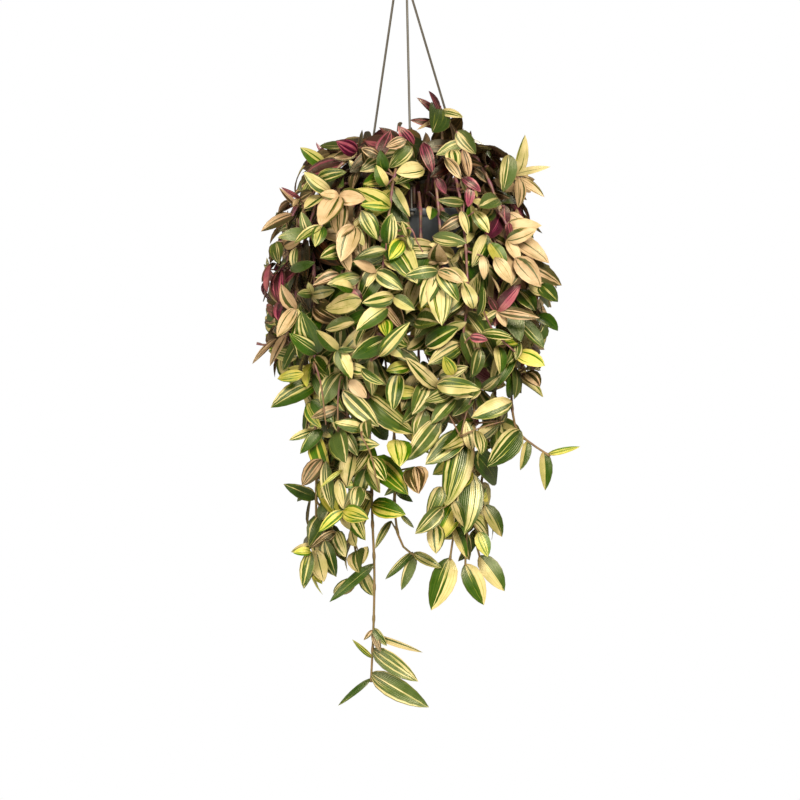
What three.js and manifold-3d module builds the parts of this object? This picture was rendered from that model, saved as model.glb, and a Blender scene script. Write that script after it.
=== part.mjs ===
// A hanging pot of variegated tradescantia: a three-strand hanger, a round plastic pot, its soil,
// and the leafy stems that rise from the soil, arch over the rim and trail below the pot.
// Millimetres, +Z up. The origin is the inside top of the hook, where it bears on what it hangs from.
// The front of the plant faces -Y, and +X is to its right.
import * as THREE from "three";
import { mergeVertices } from "three/addons/utils/BufferGeometryUtils.js";
import Module from "manifold-3d";

const wasm = await Module();
wasm.setup();

// Driving dimensions
const RIM_BELOW_HOOK = 309; // from the inside top of the hook down to the pot's rim
const POT_SHIFT = 15; // the pot hangs this far to the right of the hook
const RIM_RADIUS = 70;
const POT_HEIGHT = 108;
const BASE_RADIUS = 50;
const POT_WALL = 1.8;
const LUG_CIRCLE = 73.8; // radius of the circle of the three hanger holes
const FIRST_LUG = -94.5; // the front hole, in degrees from +X
const STRAND_RADIUS = 1.3;
const BALL_RADIUS = 2.7; // snap-in ball at each end of a strand
const CROWN_DROP = 60; // from the inside top of the hook down to the crown's underside
const CROWN_TWIST = 34.5; // the crown is turned this many degrees from the pot
const CLEARANCE = 0.3;
const STEM_RADIUS = 1.7;
const BLADE_THICKNESS = 0.7;
const LEAF_LENGTH = [50, 70];
const WIDTH_OF_LENGTH = 0.46;

const UP = new THREE.Vector3(0, 0, 1);
const FRONT = new THREE.Vector3(0, -1, 0);
const potPlace = new THREE.Vector3(POT_SHIFT, 0, -RIM_BELOW_HOOK);

// ---------------------------------------------------------------- finishes

const finish = (color, roughness) => new THREE.MeshStandardMaterial({ color, roughness, metalness: 0 });
const potPlastic = finish(0x4b4f55, 0.55);
const hangerPlastic = finish(0x4a463f, 0.5);
const soilCrumb = finish(0x2e1f17, 0.95);
const leafGreen = finish(0x8a9a55, 0.45);

// ---------------------------------------------------------------- solids

function toSolid(geometry) {
  const bare = geometry.clone();
  bare.deleteAttribute("normal");
  bare.deleteAttribute("uv");
  const merged = mergeVertices(bare, 1e-3);
  return new wasm.Manifold(
    new wasm.Mesh({
      numProp: 3,
      vertProperties: merged.attributes.position.array,
      triVerts: new Uint32Array(merged.index.array),
    }),
  );
}

function toMesh(name, solid, material) {
  const { vertProperties, triVerts } = solid.getMesh();
  const shared = new THREE.BufferGeometry();
  shared.setAttribute("position", new THREE.BufferAttribute(vertProperties, 3));
  shared.setIndex(new THREE.BufferAttribute(triVerts, 1));
  const geometry = shared.toNonIndexed();
  geometry.computeVertexNormals();
  const mesh = new THREE.Mesh(geometry, material);
  mesh.name = name;
  return mesh;
}

// A geometry that stands on the origin along +Y, turned and moved to stand on foot and point to head.
function standing(geometry, foot, head) {
  const direction = head.clone().sub(foot).normalize();
  const turn = new THREE.Quaternion().setFromUnitVectors(new THREE.Vector3(0, 1, 0), direction);
  return geometry.clone().applyQuaternion(turn).translate(foot.x, foot.y, foot.z);
}

// A solid of revolution about +Z from [radius, height] pairs.
function turned(profile, sides) {
  const points = profile.map(([radius, height]) => new THREE.Vector2(radius, height));
  return new THREE.LatheGeometry(points, sides).rotateX(Math.PI / 2);
}

function onCircle(radius, degrees, z) {
  const angle = THREE.MathUtils.degToRad(degrees);
  return new THREE.Vector3(radius * Math.cos(angle), radius * Math.sin(angle), z);
}

// ---------------------------------------------------------------- pot, with its rim's top at height 0

const POT_SIDES = 24;
const RIM_LIP = 3; // the rim flange stands out this far from the wall
const RIM_DEPTH = 7;
const FOOT_RING = 2; // the floor is raised this far inside the foot
const FLOOR = 2.2;
const LUG_THICKNESS = 3;
const LUG_HALF = 4.6;
const DRAIN_RADIUS = 4;
const DRAINS = 4;

const wallRadius = (z) => THREE.MathUtils.mapLinear(z, -POT_HEIGHT, 0, BASE_RADIUS, RIM_RADIUS - RIM_LIP);
const floorTop = -POT_HEIGHT + FOOT_RING + FLOOR;

function potBody() {
  return toSolid(
    turned(
      [
        [0, -POT_HEIGHT + FOOT_RING],
        [BASE_RADIUS - 9, -POT_HEIGHT + FOOT_RING],
        [BASE_RADIUS - 7, -POT_HEIGHT],
        [BASE_RADIUS, -POT_HEIGHT],
        [wallRadius(-RIM_DEPTH - 3), -RIM_DEPTH - 3],
        [RIM_RADIUS, -RIM_DEPTH],
        [RIM_RADIUS, -1],
        [RIM_RADIUS - 1, 0],
        [RIM_RADIUS - RIM_LIP - POT_WALL, 0],
        [BASE_RADIUS - POT_WALL, floorTop],
        [0, floorTop],
      ],
      POT_SIDES,
    ),
  );
}

// A rounded tongue that stands out of the rim and takes a strand's ball end.
function lug(degrees) {
  const inner = RIM_RADIUS - 2;
  const outline = new THREE.Shape();
  outline.moveTo(inner, -LUG_HALF);
  outline.lineTo(LUG_CIRCLE, -LUG_HALF);
  outline.absarc(LUG_CIRCLE, 0, LUG_HALF, -Math.PI / 2, Math.PI / 2, false);
  outline.lineTo(inner, LUG_HALF);
  const slab = new THREE.ExtrudeGeometry(outline, {
    depth: LUG_THICKNESS,
    bevelEnabled: false,
    curveSegments: 6,
  });
  return toSolid(slab.translate(0, 0, -LUG_THICKNESS).rotateZ(THREE.MathUtils.degToRad(degrees)));
}

function drain(number) {
  const spot = onCircle(BASE_RADIUS * 0.55, (360 / DRAINS) * number, -POT_HEIGHT - 1);
  const drill = new THREE.CylinderGeometry(DRAIN_RADIUS, DRAIN_RADIUS, 12, 6).translate(0, 6, 0);
  return toSolid(standing(drill, spot, spot.clone().add(UP)));
}

// ---------------------------------------------------------------- hanger

const CROWN_RADIUS = 11;
const CROWN_THICKNESS = 5;
const CROWN_CIRCLE = 7.4; // radius of the circle of the crown's three holes
const HOOK_RADIUS = 12.5; // centreline of the hook's bend
const HOOK_ROD = 2.5;
const BALL_BEYOND = 5.75; // a ball's centre lies this far past the middle of the crown
const BALL_BELOW = 4.7; // and this far past the middle of the lug

const lugAngles = [0, 1, 2].map((k) => FIRST_LUG + 120 * k);

// The centres of a strand's two balls, beyond the holes that it is pulled through, in the pot's frame.
function strandEnds(degrees) {
  const crownMiddle = RIM_BELOW_HOOK - CROWN_DROP + CROWN_THICKNESS / 2;
  const crown = new THREE.Vector3(-POT_SHIFT, 0, 0);
  const top = onCircle(CROWN_CIRCLE, degrees + CROWN_TWIST, crownMiddle).add(crown);
  const bottom = onCircle(LUG_CIRCLE, degrees, -LUG_THICKNESS / 2);
  const pull = top.clone().sub(bottom).normalize();
  return { top: top.addScaledVector(pull, BALL_BEYOND), bottom: bottom.addScaledVector(pull, -BALL_BELOW) };
}

// A thin rod with a ball at each end.
function strand(degrees) {
  const { top, bottom } = strandEnds(degrees);
  const length = top.distanceTo(bottom);
  const neck = Math.sqrt(BALL_RADIUS ** 2 - STRAND_RADIUS ** 2);
  const half = BALL_RADIUS * Math.SQRT1_2;
  const profile = [
    [0, -BALL_RADIUS],
    [half, -half],
    [BALL_RADIUS, 0],
    [half, half],
    [STRAND_RADIUS, neck],
    [STRAND_RADIUS, length - neck],
    [half, length - half],
    [BALL_RADIUS, length],
    [half, length + half],
    [0, length + BALL_RADIUS],
  ].map(([radius, height]) => new THREE.Vector2(radius, height));
  return toSolid(standing(new THREE.LatheGeometry(profile, 8), bottom, top));
}

// What a strand's hole takes out of the lug and the crown.
function strandBore(degrees) {
  const { top, bottom } = strandEnds(degrees);
  const radius = STRAND_RADIUS + CLEARANCE + 0.15;
  const length = top.distanceTo(bottom);
  const bore = new THREE.CylinderGeometry(radius, radius, length, 8).translate(0, length / 2, 0);
  return toSolid(standing(bore, bottom, top));
}

// The question-mark hook that rises from the crown disc.
function hookAndCrown() {
  const centre = new THREE.Vector3(0, 0, HOOK_ROD - HOOK_RADIUS);
  const bend = [0, 45, 90, 135, 180, 205].map((degrees) => {
    const { x, y } = onCircle(HOOK_RADIUS, degrees, 0);
    return new THREE.Vector3(x, 0, y).add(centre);
  });
  const shank = [
    new THREE.Vector3(0, 0, -CROWN_DROP + 2),
    new THREE.Vector3(0, 0, -40),
    new THREE.Vector3(7, 0, -27),
  ];
  const route = new THREE.CatmullRomCurve3([...shank, ...bend], false, "catmullrom", 0.5);
  const section = new THREE.Shape().absarc(0, 0, HOOK_ROD, 0, 2 * Math.PI, false);
  const rod = new THREE.ExtrudeGeometry(section, {
    steps: 18,
    extrudePath: route,
    bevelEnabled: false,
    curveSegments: 3,
  });
  const top = -CROWN_DROP + CROWN_THICKNESS;
  const disc = turned(
    [
      [0, -CROWN_DROP],
      [CROWN_RADIUS - 1, -CROWN_DROP],
      [CROWN_RADIUS, -CROWN_DROP + 1],
      [CROWN_RADIUS, top - 1],
      [CROWN_RADIUS - 1, top],
      [0, top],
    ],
    16,
  );
  return toSolid(rod).add(toSolid(disc));
}

// ---------------------------------------------------------------- soil

const SOIL_BELOW_RIM = 9;
const SOIL_DOME = 10; // the middle of the root ball stands this much higher than its edge

const soilEdge = wallRadius(-SOIL_BELOW_RIM);
const soilHeight = (radius) => -SOIL_BELOW_RIM + SOIL_DOME * (1 - (radius / soilEdge) ** 2);

function soilBody() {
  const inner = (z) => wallRadius(z) - POT_WALL - CLEARANCE - 0.6;
  const edge = inner(-SOIL_BELOW_RIM);
  const bottom = floorTop + CLEARANCE;
  return toSolid(
    turned(
      [
        [0, bottom],
        [inner(bottom), bottom],
        [edge, -SOIL_BELOW_RIM],
        [edge * 0.7, soilHeight(edge * 0.7)],
        [0, soilHeight(0)],
      ],
      POT_SIDES,
    ),
  );
}

// ---------------------------------------------------------------- chance

// A repeatable random number between low and high for whatever its whole-number keys name.
function draw(low, high, ...keys) {
  let h = 2166136261;
  for (const key of keys) {
    h = Math.imul(h ^ (key + 40503), 16777619);
    h ^= h >>> 15;
    h = Math.imul(h, 739982445);
    h ^= h >>> 12;
  }
  h = Math.imul(h ^ (h >>> 15), 695872825);
  const share = ((h ^ (h >>> 15)) >>> 0) / 4294967296;
  return low + (high - low) * share;
}

// ---------------------------------------------------------------- stems

const ROOT_DEPTH = 9;
const NODE_STEP = 35; // stem length from one leaf to the next
const STEM_GAP = 1; // the least space between stems
const STEM_TRIES = 30;
const STEM_SWING = 2; // degrees that a stem gives way at a time

// The long tails and stray sprays. Each course is a list of points from just above the soil to the tip, in
// the pot's frame: right, back and up from the middle of the rim. Past the height leafyTo, a stem bears only
// leaves that have places of their own.
const PLACED_STEMS = {
  runner: {
    leafyTo: -330,
    course: [[-37, -52, 20], [-51, -88, -7], [-55, -108, -97], [-53, -108, -207], [-50, -104, -296],
      [-49, -100, -342], [-47, -98, -399], [-48, -96, -462], [-51, -95, -528]],
  },
  smallTail: {
    leafyTo: -250,
    course: [[-20, -54, 14], [-26, -90, -30], [-27, -100, -131], [-25, -98, -230], [-25, -94, -309],
      [-22, -92, -353], [-14, -92, -375], [-1, -92, -384]],
  },
  rightSprig: {
    leafyTo: -185,
    course: [[38, -40, 22], [74, -80, 0], [94, -95, -88], [103, -88, -165], [105, -85, -216], [111, -84, -244],
      [127, -84, -259], [148, -84, -273]],
  },
  leftSprig: {
    leafyTo: -100,
    course: [[-48, -24, 26], [-98, -46, 34], [-133, -60, -24], [-138, -60, -91], [-143, -60, -138],
      [-161, -60, -152], [-178, -60, -150]],
  },
  topSprig: { leafyTo: 200, course: [[24, -8, 24], [28, -8, 63], [29, -8, 91], [26, -8, 112]] },
  rightSpray: { leafyTo: 40, course: [[43, -20, 24], [79, -34, 45], [103, -44, 41], [115, -50, 30]] },
  leftSpray: { leafyTo: 50, course: [[-35, -10, 29], [-74, -20, 54], [-96, -30, 51], [-107, -36, 44]] },
  leftShoot: { leafyTo: 0, course: [[-46, -18, 20], [-102, -34, 24], [-129, -44, 5], [-139, -48, -12]] },
  rightShoot: { leafyTo: -400, course: [[34, -46, 20], [87, -86, 4], [108, -98, -26], [117, -104, -60]] },
  leftTailOuter: {
    leafyTo: -500,
    course: [[-52, -34, 22], [-106, -76, -12], [-112, -88, -121], [-112, -82, -233], [-112, -76, -318],
      [-114, -72, -376], [-118, -70, -396]],
  },
  leftTailMiddle: {
    leafyTo: -500,
    course: [[-56, -14, 24], [-94, -42, 8], [-104, -58, -84], [-94, -66, -200], [-92, -66, -290],
      [-94, -64, -362]],
  },
  leftTailInner: {
    leafyTo: -500,
    course: [[-46, -42, 20], [-76, -90, -12], [-81, -102, -120], [-76, -98, -230], [-74, -92, -321],
      [-68, -88, -380], [-61, -86, -402]],
  },
  middleTail: {
    leafyTo: -500,
    course: [[2, -56, 16], [4, -92, -14], [2, -104, -98], [2, -104, -180], [4, -102, -230]],
  },
  rightTailInner: {
    leafyTo: -370,
    course: [[12, -54, 16], [32, -92, -14], [38, -104, -98], [45, -104, -185], [52, -102, -252],
      [46, -96, -320], [37, -92, -389]],
  },
  rightTailMiddle: {
    leafyTo: -370,
    course: [[28, -48, 18], [56, -86, -12], [69, -94, -99], [70, -94, -187], [68, -92, -287], [62, -88, -356],
      [60, -86, -410]],
  },
  rightTailOuter: {
    leafyTo: -370,
    course: [[46, -30, 24], [85, -62, -4], [92, -72, -101], [86, -72, -212], [73, -70, -302], [66, -68, -362],
      [76, -66, -409]],
  },
};

// The other stems are rooted like seeds in a sunflower. The nearer the middle a stem is rooted, the higher it
// arches and the further out it hangs, so that the stems lie in nested shells. The innermost are short. The
// shells are widest at the waist, are drawn in below it, and lean to the left.
const RULED_STEMS = 34;
const GOLDEN_ANGLE = 137.508;
const ROOT_CIRCLE = 55;
const WAIST = -80;
const LEAN = 8;
const SHELLS = [
  { upTo: 0.24, arch: 66, reach: 74, ends: [40, 12] },
  { upTo: 0.58, arch: 60, reach: 145, ends: [-120, -225] },
  { upTo: 0.82, arch: 43, reach: 121, ends: [-150, -270] },
  { upTo: 1, arch: 15, reach: 95, ends: [-170, -300] },
];

function ruledPlan(k) {
  const share = (k + 0.5) / RULED_STEMS;
  const shell = SHELLS.find(({ upTo }) => share <= upTo);
  const rootRadius = ROOT_CIRCLE * Math.sqrt(share);
  const arch = shell.arch + draw(-6, 6, k, 1);
  const lean = LEAN * Math.cos(THREE.MathUtils.degToRad(k * GOLDEN_ANGLE));
  const reach = shell.reach - lean + draw(-4, 4, k, 2);
  const end = draw(...shell.ends, k, 3);
  const drift = draw(-9, 9, k, 4);
  const waist = Math.max(WAIST, end);
  const at = (radius, turn, z) => onCircle(radius, k * GOLDEN_ANGLE + turn, z);
  const points = [
    at(rootRadius + 2, 0, soilHeight(rootRadius) + 14),
    at(rootRadius + (reach - rootRadius) * 0.36, 0, arch),
    at(reach * 0.8, drift * 0.2, arch - (arch - waist) * 0.3),
    at(reach, drift * 0.4, waist),
  ];
  const falls = Math.ceil((waist - end) / 90);
  for (let n = 1; n <= falls; n += 1) {
    const z = waist - ((waist - end) * n) / falls;
    const drawnIn = 1 - 0.38 * THREE.MathUtils.smoothstep(-z, 120, 320);
    points.push(at(reach * drawnIn, drift * (0.4 + (0.6 * n) / falls), z));
  }
  return { course: points.map((point) => point.toArray()), leafyTo: -Infinity };
}

// A stem runs straight up out of the soil under its first point, then along all of its course.
function growStem(course, number, swing) {
  const above = course.map(([x, y, z]) => new THREE.Vector3(x, y, z).applyAxisAngle(UP, swing));
  const radius = Math.max(4, Math.hypot(above[0].x, above[0].y) - 4);
  const foot = above[0].clone().setZ(0).setLength(radius).setZ(soilHeight(radius) - ROOT_DEPTH);
  const route = new THREE.CatmullRomCurve3(
    [foot, ...above].map((point) => point.add(potPlace)), false, "catmullrom", 0.5);
  const steps = Math.max(3, Math.round(route.getLength() / NODE_STEP));
  return { number, route, steps, nodes: route.getSpacedPoints(steps) };
}

function stemTube({ route, steps }) {
  const section = new THREE.Shape();
  section.moveTo(STEM_RADIUS, 0);
  section.lineTo(-STEM_RADIUS / 2, STEM_RADIUS * Math.sin(Math.PI / 3));
  section.lineTo(-STEM_RADIUS / 2, -STEM_RADIUS * Math.sin(Math.PI / 3));
  return toSolid(new THREE.ExtrudeGeometry(section, { steps, extrudePath: route, bevelEnabled: false }));
}

// The hole that a stem stands in, along its first stretch and a little deeper than its end.
function stemHole({ nodes }) {
  const direction = nodes[1].clone().sub(nodes[0]).normalize();
  const bottom = nodes[0].clone().addScaledVector(direction, -4 * CLEARANCE).sub(potPlace);
  const radius = (STEM_RADIUS + 1.5 * CLEARANCE) * Math.SQRT2; // to the corners of a square hole
  const drill = new THREE.CylinderGeometry(radius, radius, 22, 4).translate(0, 11, 0);
  return toSolid(standing(drill, bottom, bottom.clone().add(direction)));
}

// ---------------------------------------------------------------- room between neighbours

// A solid with its box, so that most neighbours are passed over quickly.
function boxed(solid) {
  const { min, max } = solid.boundingBox();
  return { solid, box: new THREE.Box3(new THREE.Vector3(...min), new THREE.Vector3(...max)) };
}

function isClear(candidate, others, gap) {
  const reach = candidate.box.clone().expandByScalar(gap);
  return others.every(
    ({ solid, box }) => !reach.intersectsBox(box) || candidate.solid.minGap(solid, gap * 2) >= gap,
  );
}

// A stem that would meet a strand, the pot or an earlier stem swings aside by a few degrees more each time.
function settleStems(plans, fixed) {
  const taken = fixed.map(boxed);
  return plans.flatMap(({ name, course, leafyTo }, number) => {
    for (let attempt = 0; attempt < STEM_TRIES; attempt += 1) {
      const swing = Math.ceil(attempt / 2) * (attempt % 2 ? 1 : -1) * STEM_SWING;
      const stem = growStem(course, number, THREE.MathUtils.degToRad(swing));
      const tube = boxed(stemTube(stem));
      if (!isClear(tube, taken, STEM_GAP)) continue;
      taken.push(tube);
      return [{ ...stem, name, leafyTo, tube }];
    }
    return [];
  });
}

// ---------------------------------------------------------------- leaves

const LEAF_TRIES = 16;
const LEAF_GAP = 0.5; // the least space between leaves
const ROOT_SUNK = 2.5; // a leaf starts this far below its node, inside the stem
// How far along the blade its two wide places are, and their width as a share of the widest
const WIDEST = { along: 0.3, width: 1 };
const NARROWER = { along: 0.68, width: 0.68 };
// The foliage parts here, above the rim in front, and shows the soil between bare stems
const PARTING = new THREE.Box3(new THREE.Vector3(-4, -100, -34), new THREE.Vector3(50, -14, 44));

// Leaves with places of their own: the stem, the height at which the leaf leaves it, the leaf's tip in the
// pot's frame, and its width as a share of its length.
const PLACED_LEAVES = [
  ["runner", -324, [-12, -128, -330], 0.5],
  ["runner", -392, [-97, -104, -434], 0.2],
  ["runner", -474, [7, -106, -491], 0.13],
  ["runner", -490, [2, -114, -522], 0.34],
  ["runner", -500, [-72, -98, -478], 0.2],
  ["runner", -518, [14, -116, -551], 0.34],
  ["runner", -524, [-88, -104, -553], 0.16],
  ["smallTail", -380, [-35, -92, -411], 0.22],
  ["smallTail", -381, [28, -102, -396], 0.34],
  ["smallTail", -383, [-17, -94, -423], 0.3],
  ["rightSprig", -244, [77, -104, -282], 0.5],
  ["rightSprig", -256, [114, -96, -287], 0.38],
  ["rightSprig", -268, [142, -94, -310], 0.4],
  ["rightSprig", -271, [181, -86, -262], 0.2],
  ["topSprig", 110, [17, -44, 82], 0.72],
  ["topSprig", 106, [52, -18, 99], 0.45],
  ["topSprig", 104, [13, -30, 128], 0.3],
  ["topSprig", 98, [0, -12, 121], 0.3],
  ["topSprig", 88, [-8, -20, 96], 0.3],
  ["middleTail", -84, [18, -142, -118], 0.44],
  ["middleTail", -74, [-12, -140, -110], 0.42],
  ["rightTailInner", -142, [7, -140, -152], 0.5],
  ["rightTailInner", -250, [31, -130, -322], 0.42],
  ["rightTailMiddle", -40, [53, -130, -60], 0.54],
  ["rightTailMiddle", -290, [52, -122, -354], 0.44],
  ["leftTailOuter", -112, [-127, -122, -160], 0.6],
  ["leftTailOuter", -192, [-160, -104, -216], 0.45],
  ["leftTailOuter", -245, [-141, -92, -254], 0.34],
  ["leftTailOuter", -322, [-148, -86, -304], 0.38],
  ["leftTailOuter", -370, [-89, -92, -408], 0.4],
  ["leftTailOuter", -376, [-141, -74, -384], 0.36],
  ["leftTailOuter", -384, [-126, -88, -423], 0.46],
  ["leftTailOuter", -392, [-105, -98, -415], 0.46],
  ["rightTailInner", -387, [16, -106, -443], 0.48],
  ["rightTailMiddle", -394, [75, -98, -439], 0.5],
  ["rightTailOuter", -38, [97, -112, -79], 0.5],
  ["rightTailOuter", -390, [99, -78, -428], 0.5],
  ["rightShoot", -30, [142, -118, -57], 0.42],
  ["rightShoot", -38, [100, -138, -80], 0.44],
  ["rightShoot", -46, [131, -130, -82], 0.44],
  ["rightShoot", -56, [157, -104, -82], 0.42],
  ["rightSpray", 33, [119, -52, 80], 0.34],
  ["rightSpray", 36, [147, -58, 45], 0.2],
  ["rightSpray", 34, [140, -64, 12], 0.34],
  ["leftSpray", 46, [-129, -42, 66], 0.45],
  ["leftShoot", -8, [-172, -60, -26], 0.38],
  ["leftShoot", 0, [-152, -52, 22], 0.22],
];

// Where the light comes from that a leaf turns to: from outside the plant, and from above.
function lightAt(point) {
  const out = point.clone().sub(potPlace).setZ(0).normalize();
  return out.multiplyScalar(0.85).addScaledVector(UP, 0.5).normalize();
}

// A leaf that runs from its stem to a given tip, with its face to the front.
function placedPose(stem, rootHeight, tip, widthOfLength) {
  const { nodes } = stem;
  const height = rootHeight + potPlace.z;
  const next = nodes.findLastIndex((node, n) => n > 0 && (node.z - height) * (nodes[n - 1].z - height) <= 0);
  const [before, after] = [nodes[next - 1], nodes[next]];
  const root = before.clone().lerp(after, (height - before.z) / (after.z - before.z));
  const chord = new THREE.Vector3(...tip).add(potPlace).sub(root);
  const reach = chord.length();
  chord.normalize();
  const front = lightAt(root).add(FRONT);
  const face = front.addScaledVector(chord, -front.dot(chord)).normalize();
  const bend = 0.5;
  const along = chord.clone().multiplyScalar(Math.cos(bend / 2)).addScaledVector(face, Math.sin(bend / 2));
  const normal = face.multiplyScalar(Math.cos(bend / 2)).addScaledVector(chord, -Math.sin(bend / 2));
  const length = (reach * (bend / 2)) / Math.sin(bend / 2);
  return { root, along, normal, length, bend, widthOfLength };
}

// Where a leaf stands and how it lies, on its attempt to find room among the others.
function leafPose({ nodes, number, steps }, i, attempt) {
  const vary = (low, high, what) => draw(low, high, number, i, attempt, what);
  const grow = nodes[Math.min(i + 1, steps)].clone().sub(nodes[i - 1]).normalize();
  const root = nodes[i - 1].clone().sub(nodes[i]).setLength(ROOT_SUNK).add(nodes[i]);
  const light = lightAt(root);
  const side = grow.clone().cross(light).normalize().multiplyScalar(i % 2 ? 1 : -1);
  const roll = THREE.MathUtils.degToRad(vary(-20, 45, 1));
  const spread = THREE.MathUtils.degToRad(i === steps ? vary(5, 30, 2) : vary(40, 80, 2));
  const along = side.multiplyScalar(Math.cos(roll) * Math.sin(spread))
    .addScaledVector(light, Math.sin(roll) * Math.sin(spread))
    .addScaledVector(grow, Math.cos(spread))
    .addScaledVector(UP, -vary(0.1, 0.4, 3))
    .normalize();
  const tilt = THREE.MathUtils.degToRad(vary(-25, 25, 4));
  const face = light.clone().addScaledVector(along, -light.dot(along)).normalize();
  const across = along.clone().cross(face);
  const normal = face.multiplyScalar(Math.cos(tilt)).addScaledVector(across, Math.sin(tilt));
  const youth = Math.min(1, 0.66 + 0.12 * (steps - i)); // the leaves near the tip are smaller
  const length = vary(...LEAF_LENGTH, 5) * youth * (1 - 0.02 * attempt);
  return { root, along, normal, length, bend: vary(0.25, 0.85, 6), widthOfLength: WIDTH_OF_LENGTH };
}

// A point of the blade: t runs from its root to its tip, aside off its midrib, above off its middle surface.
function bladePoint({ root, along, normal, length, bend }, t, aside, above) {
  const radius = length / bend;
  const angle = bend * t;
  const upright = along.clone().multiplyScalar(Math.sin(angle)).addScaledVector(normal, Math.cos(angle));
  return root.clone()
    .addScaledVector(along, radius * Math.sin(angle))
    .addScaledVector(normal, -radius * (1 - Math.cos(angle)))
    .addScaledVector(along.clone().cross(normal), aside)
    .addScaledVector(upright, above);
}

// The blade as a thin bent plate that comes to a point at its root and its tip. Its upper and its lower sheet
// have four corners each, which go round by the right edge and back by the left one.
function blade(pose) {
  const half = (pose.length * pose.widthOfLength) / 2;
  const edges = [
    [WIDEST.along, WIDEST.width * half],
    [NARROWER.along, NARROWER.width * half],
    [NARROWER.along, -NARROWER.width * half],
    [WIDEST.along, -WIDEST.width * half],
  ];
  const sheet = (above) => edges.map(([t, aside]) => bladePoint(pose, t, aside, above));
  const [root, tip] = [bladePoint(pose, 0, 0, 0), bladePoint(pose, 1, 0, 0)];
  const [a, b, c, d] = sheet(BLADE_THICKNESS / 2);
  const [e, f, g, h] = sheet(-BLADE_THICKNESS / 2);
  const upper = [root, a, d, a, b, c, a, c, d, b, tip, c];
  const lower = [root, h, e, e, g, f, e, h, g, f, g, tip];
  const rim = [root, e, a, e, f, b, e, b, a, f, tip, b, tip, g, c, g, h, d, g, d, c, h, root, d];
  return toSolid(new THREE.BufferGeometry().setFromPoints([...upper, ...lower, ...rim]));
}

// Leaves start above the soil, and leave the parting and the bare stretches free.
function isBare({ nodes, leafyTo }, i) {
  const place = nodes[i].clone().sub(potPlace);
  return i < 2 || place.z < leafyTo || PARTING.containsPoint(place);
}

// The leaves with places of their own come first. Every other leaf takes the first of its poses that keeps
// clear of all that is there already, and a leaf that finds no room is left out.
function growLeaves(stems, fixed) {
  const taken = fixed.map(boxed);
  const leaves = stems.map(() => []);
  const add = (n, pose) => {
    const leaf = boxed(blade(pose));
    const others = stems.filter((_, other) => other !== n).map((other) => other.tube);
    const fits = isClear(leaf, taken, LEAF_GAP) && isClear(leaf, others, LEAF_GAP);
    if (fits) {
      leaves[n].push(leaf.solid);
      taken.push(leaf);
    }
    return fits;
  };
  for (const [name, height, tip, widthOfLength] of PLACED_LEAVES) {
    const n = stems.findIndex((stem) => stem.name === name);
    add(n, placedPose(stems[n], height, tip, widthOfLength));
  }
  stems.forEach((stem, n) => {
    for (let i = 1; i <= stem.steps; i += 1) {
      for (let attempt = 0; attempt < LEAF_TRIES && !isBare(stem, i); attempt += 1) {
        if (add(n, leafPose(stem, i, attempt))) break;
      }
    }
  });
  return stems.map((stem, n) => wasm.Manifold.union([stem.tube.solid, ...leaves[n]]));
}

// ---------------------------------------------------------------- the whole plant

const bores = lugAngles.map(strandBore);
const cuts = [...bores, ...Array.from({ length: DRAINS }, (_, k) => drain(k))];
const potSolid = wasm.Manifold.union([potBody(), ...lugAngles.map(lug)]).subtract(wasm.Manifold.union(cuts));
const strandSolids = lugAngles.map(strand);
const crownSolid = hookAndCrown().subtract(wasm.Manifold.union(bores).translate(potPlace.toArray()));

const inPlace = (solid) => solid.translate(potPlace.toArray());
const plans = [
  ...Object.entries(PLACED_STEMS).map(([name, plan]) => ({ name, ...plan })),
  ...Array.from({ length: RULED_STEMS }, (_, k) => ruledPlan(k)),
];
const stems = settleStems(plans, [potSolid, ...strandSolids].map(inPlace));
const soilSolid = soilBody().subtract(wasm.Manifold.union(stems.map(stemHole)));
const leafySolids = growLeaves(stems, [potSolid, soilSolid, ...strandSolids].map(inPlace));

const pot = new THREE.Group();
pot.position.copy(potPlace);
pot.add(toMesh("pot", potSolid, potPlastic));
pot.add(toMesh("soil", soilSolid, soilCrumb));
["front", "right", "left"].forEach((where, k) => {
  pot.add(toMesh("hanger_strand_" + where, strandSolids[k], hangerPlastic));
});

const tradescantia = new THREE.Group();
tradescantia.add(pot);
tradescantia.add(toMesh("hanger_hook", crownSolid, hangerPlastic));
leafySolids.forEach((solid, n) => {
  tradescantia.add(toMesh("leafy_stem_" + String(n + 1).padStart(2, "0"), solid, leafGreen));
});

export default tradescantia;
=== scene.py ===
import math

import bmesh
import bpy
import numpy as np
from mathutils import Matrix, Vector, noise
from mathutils.bvhtree import BVHTree
from mathutils.kdtree import KDTree


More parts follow.
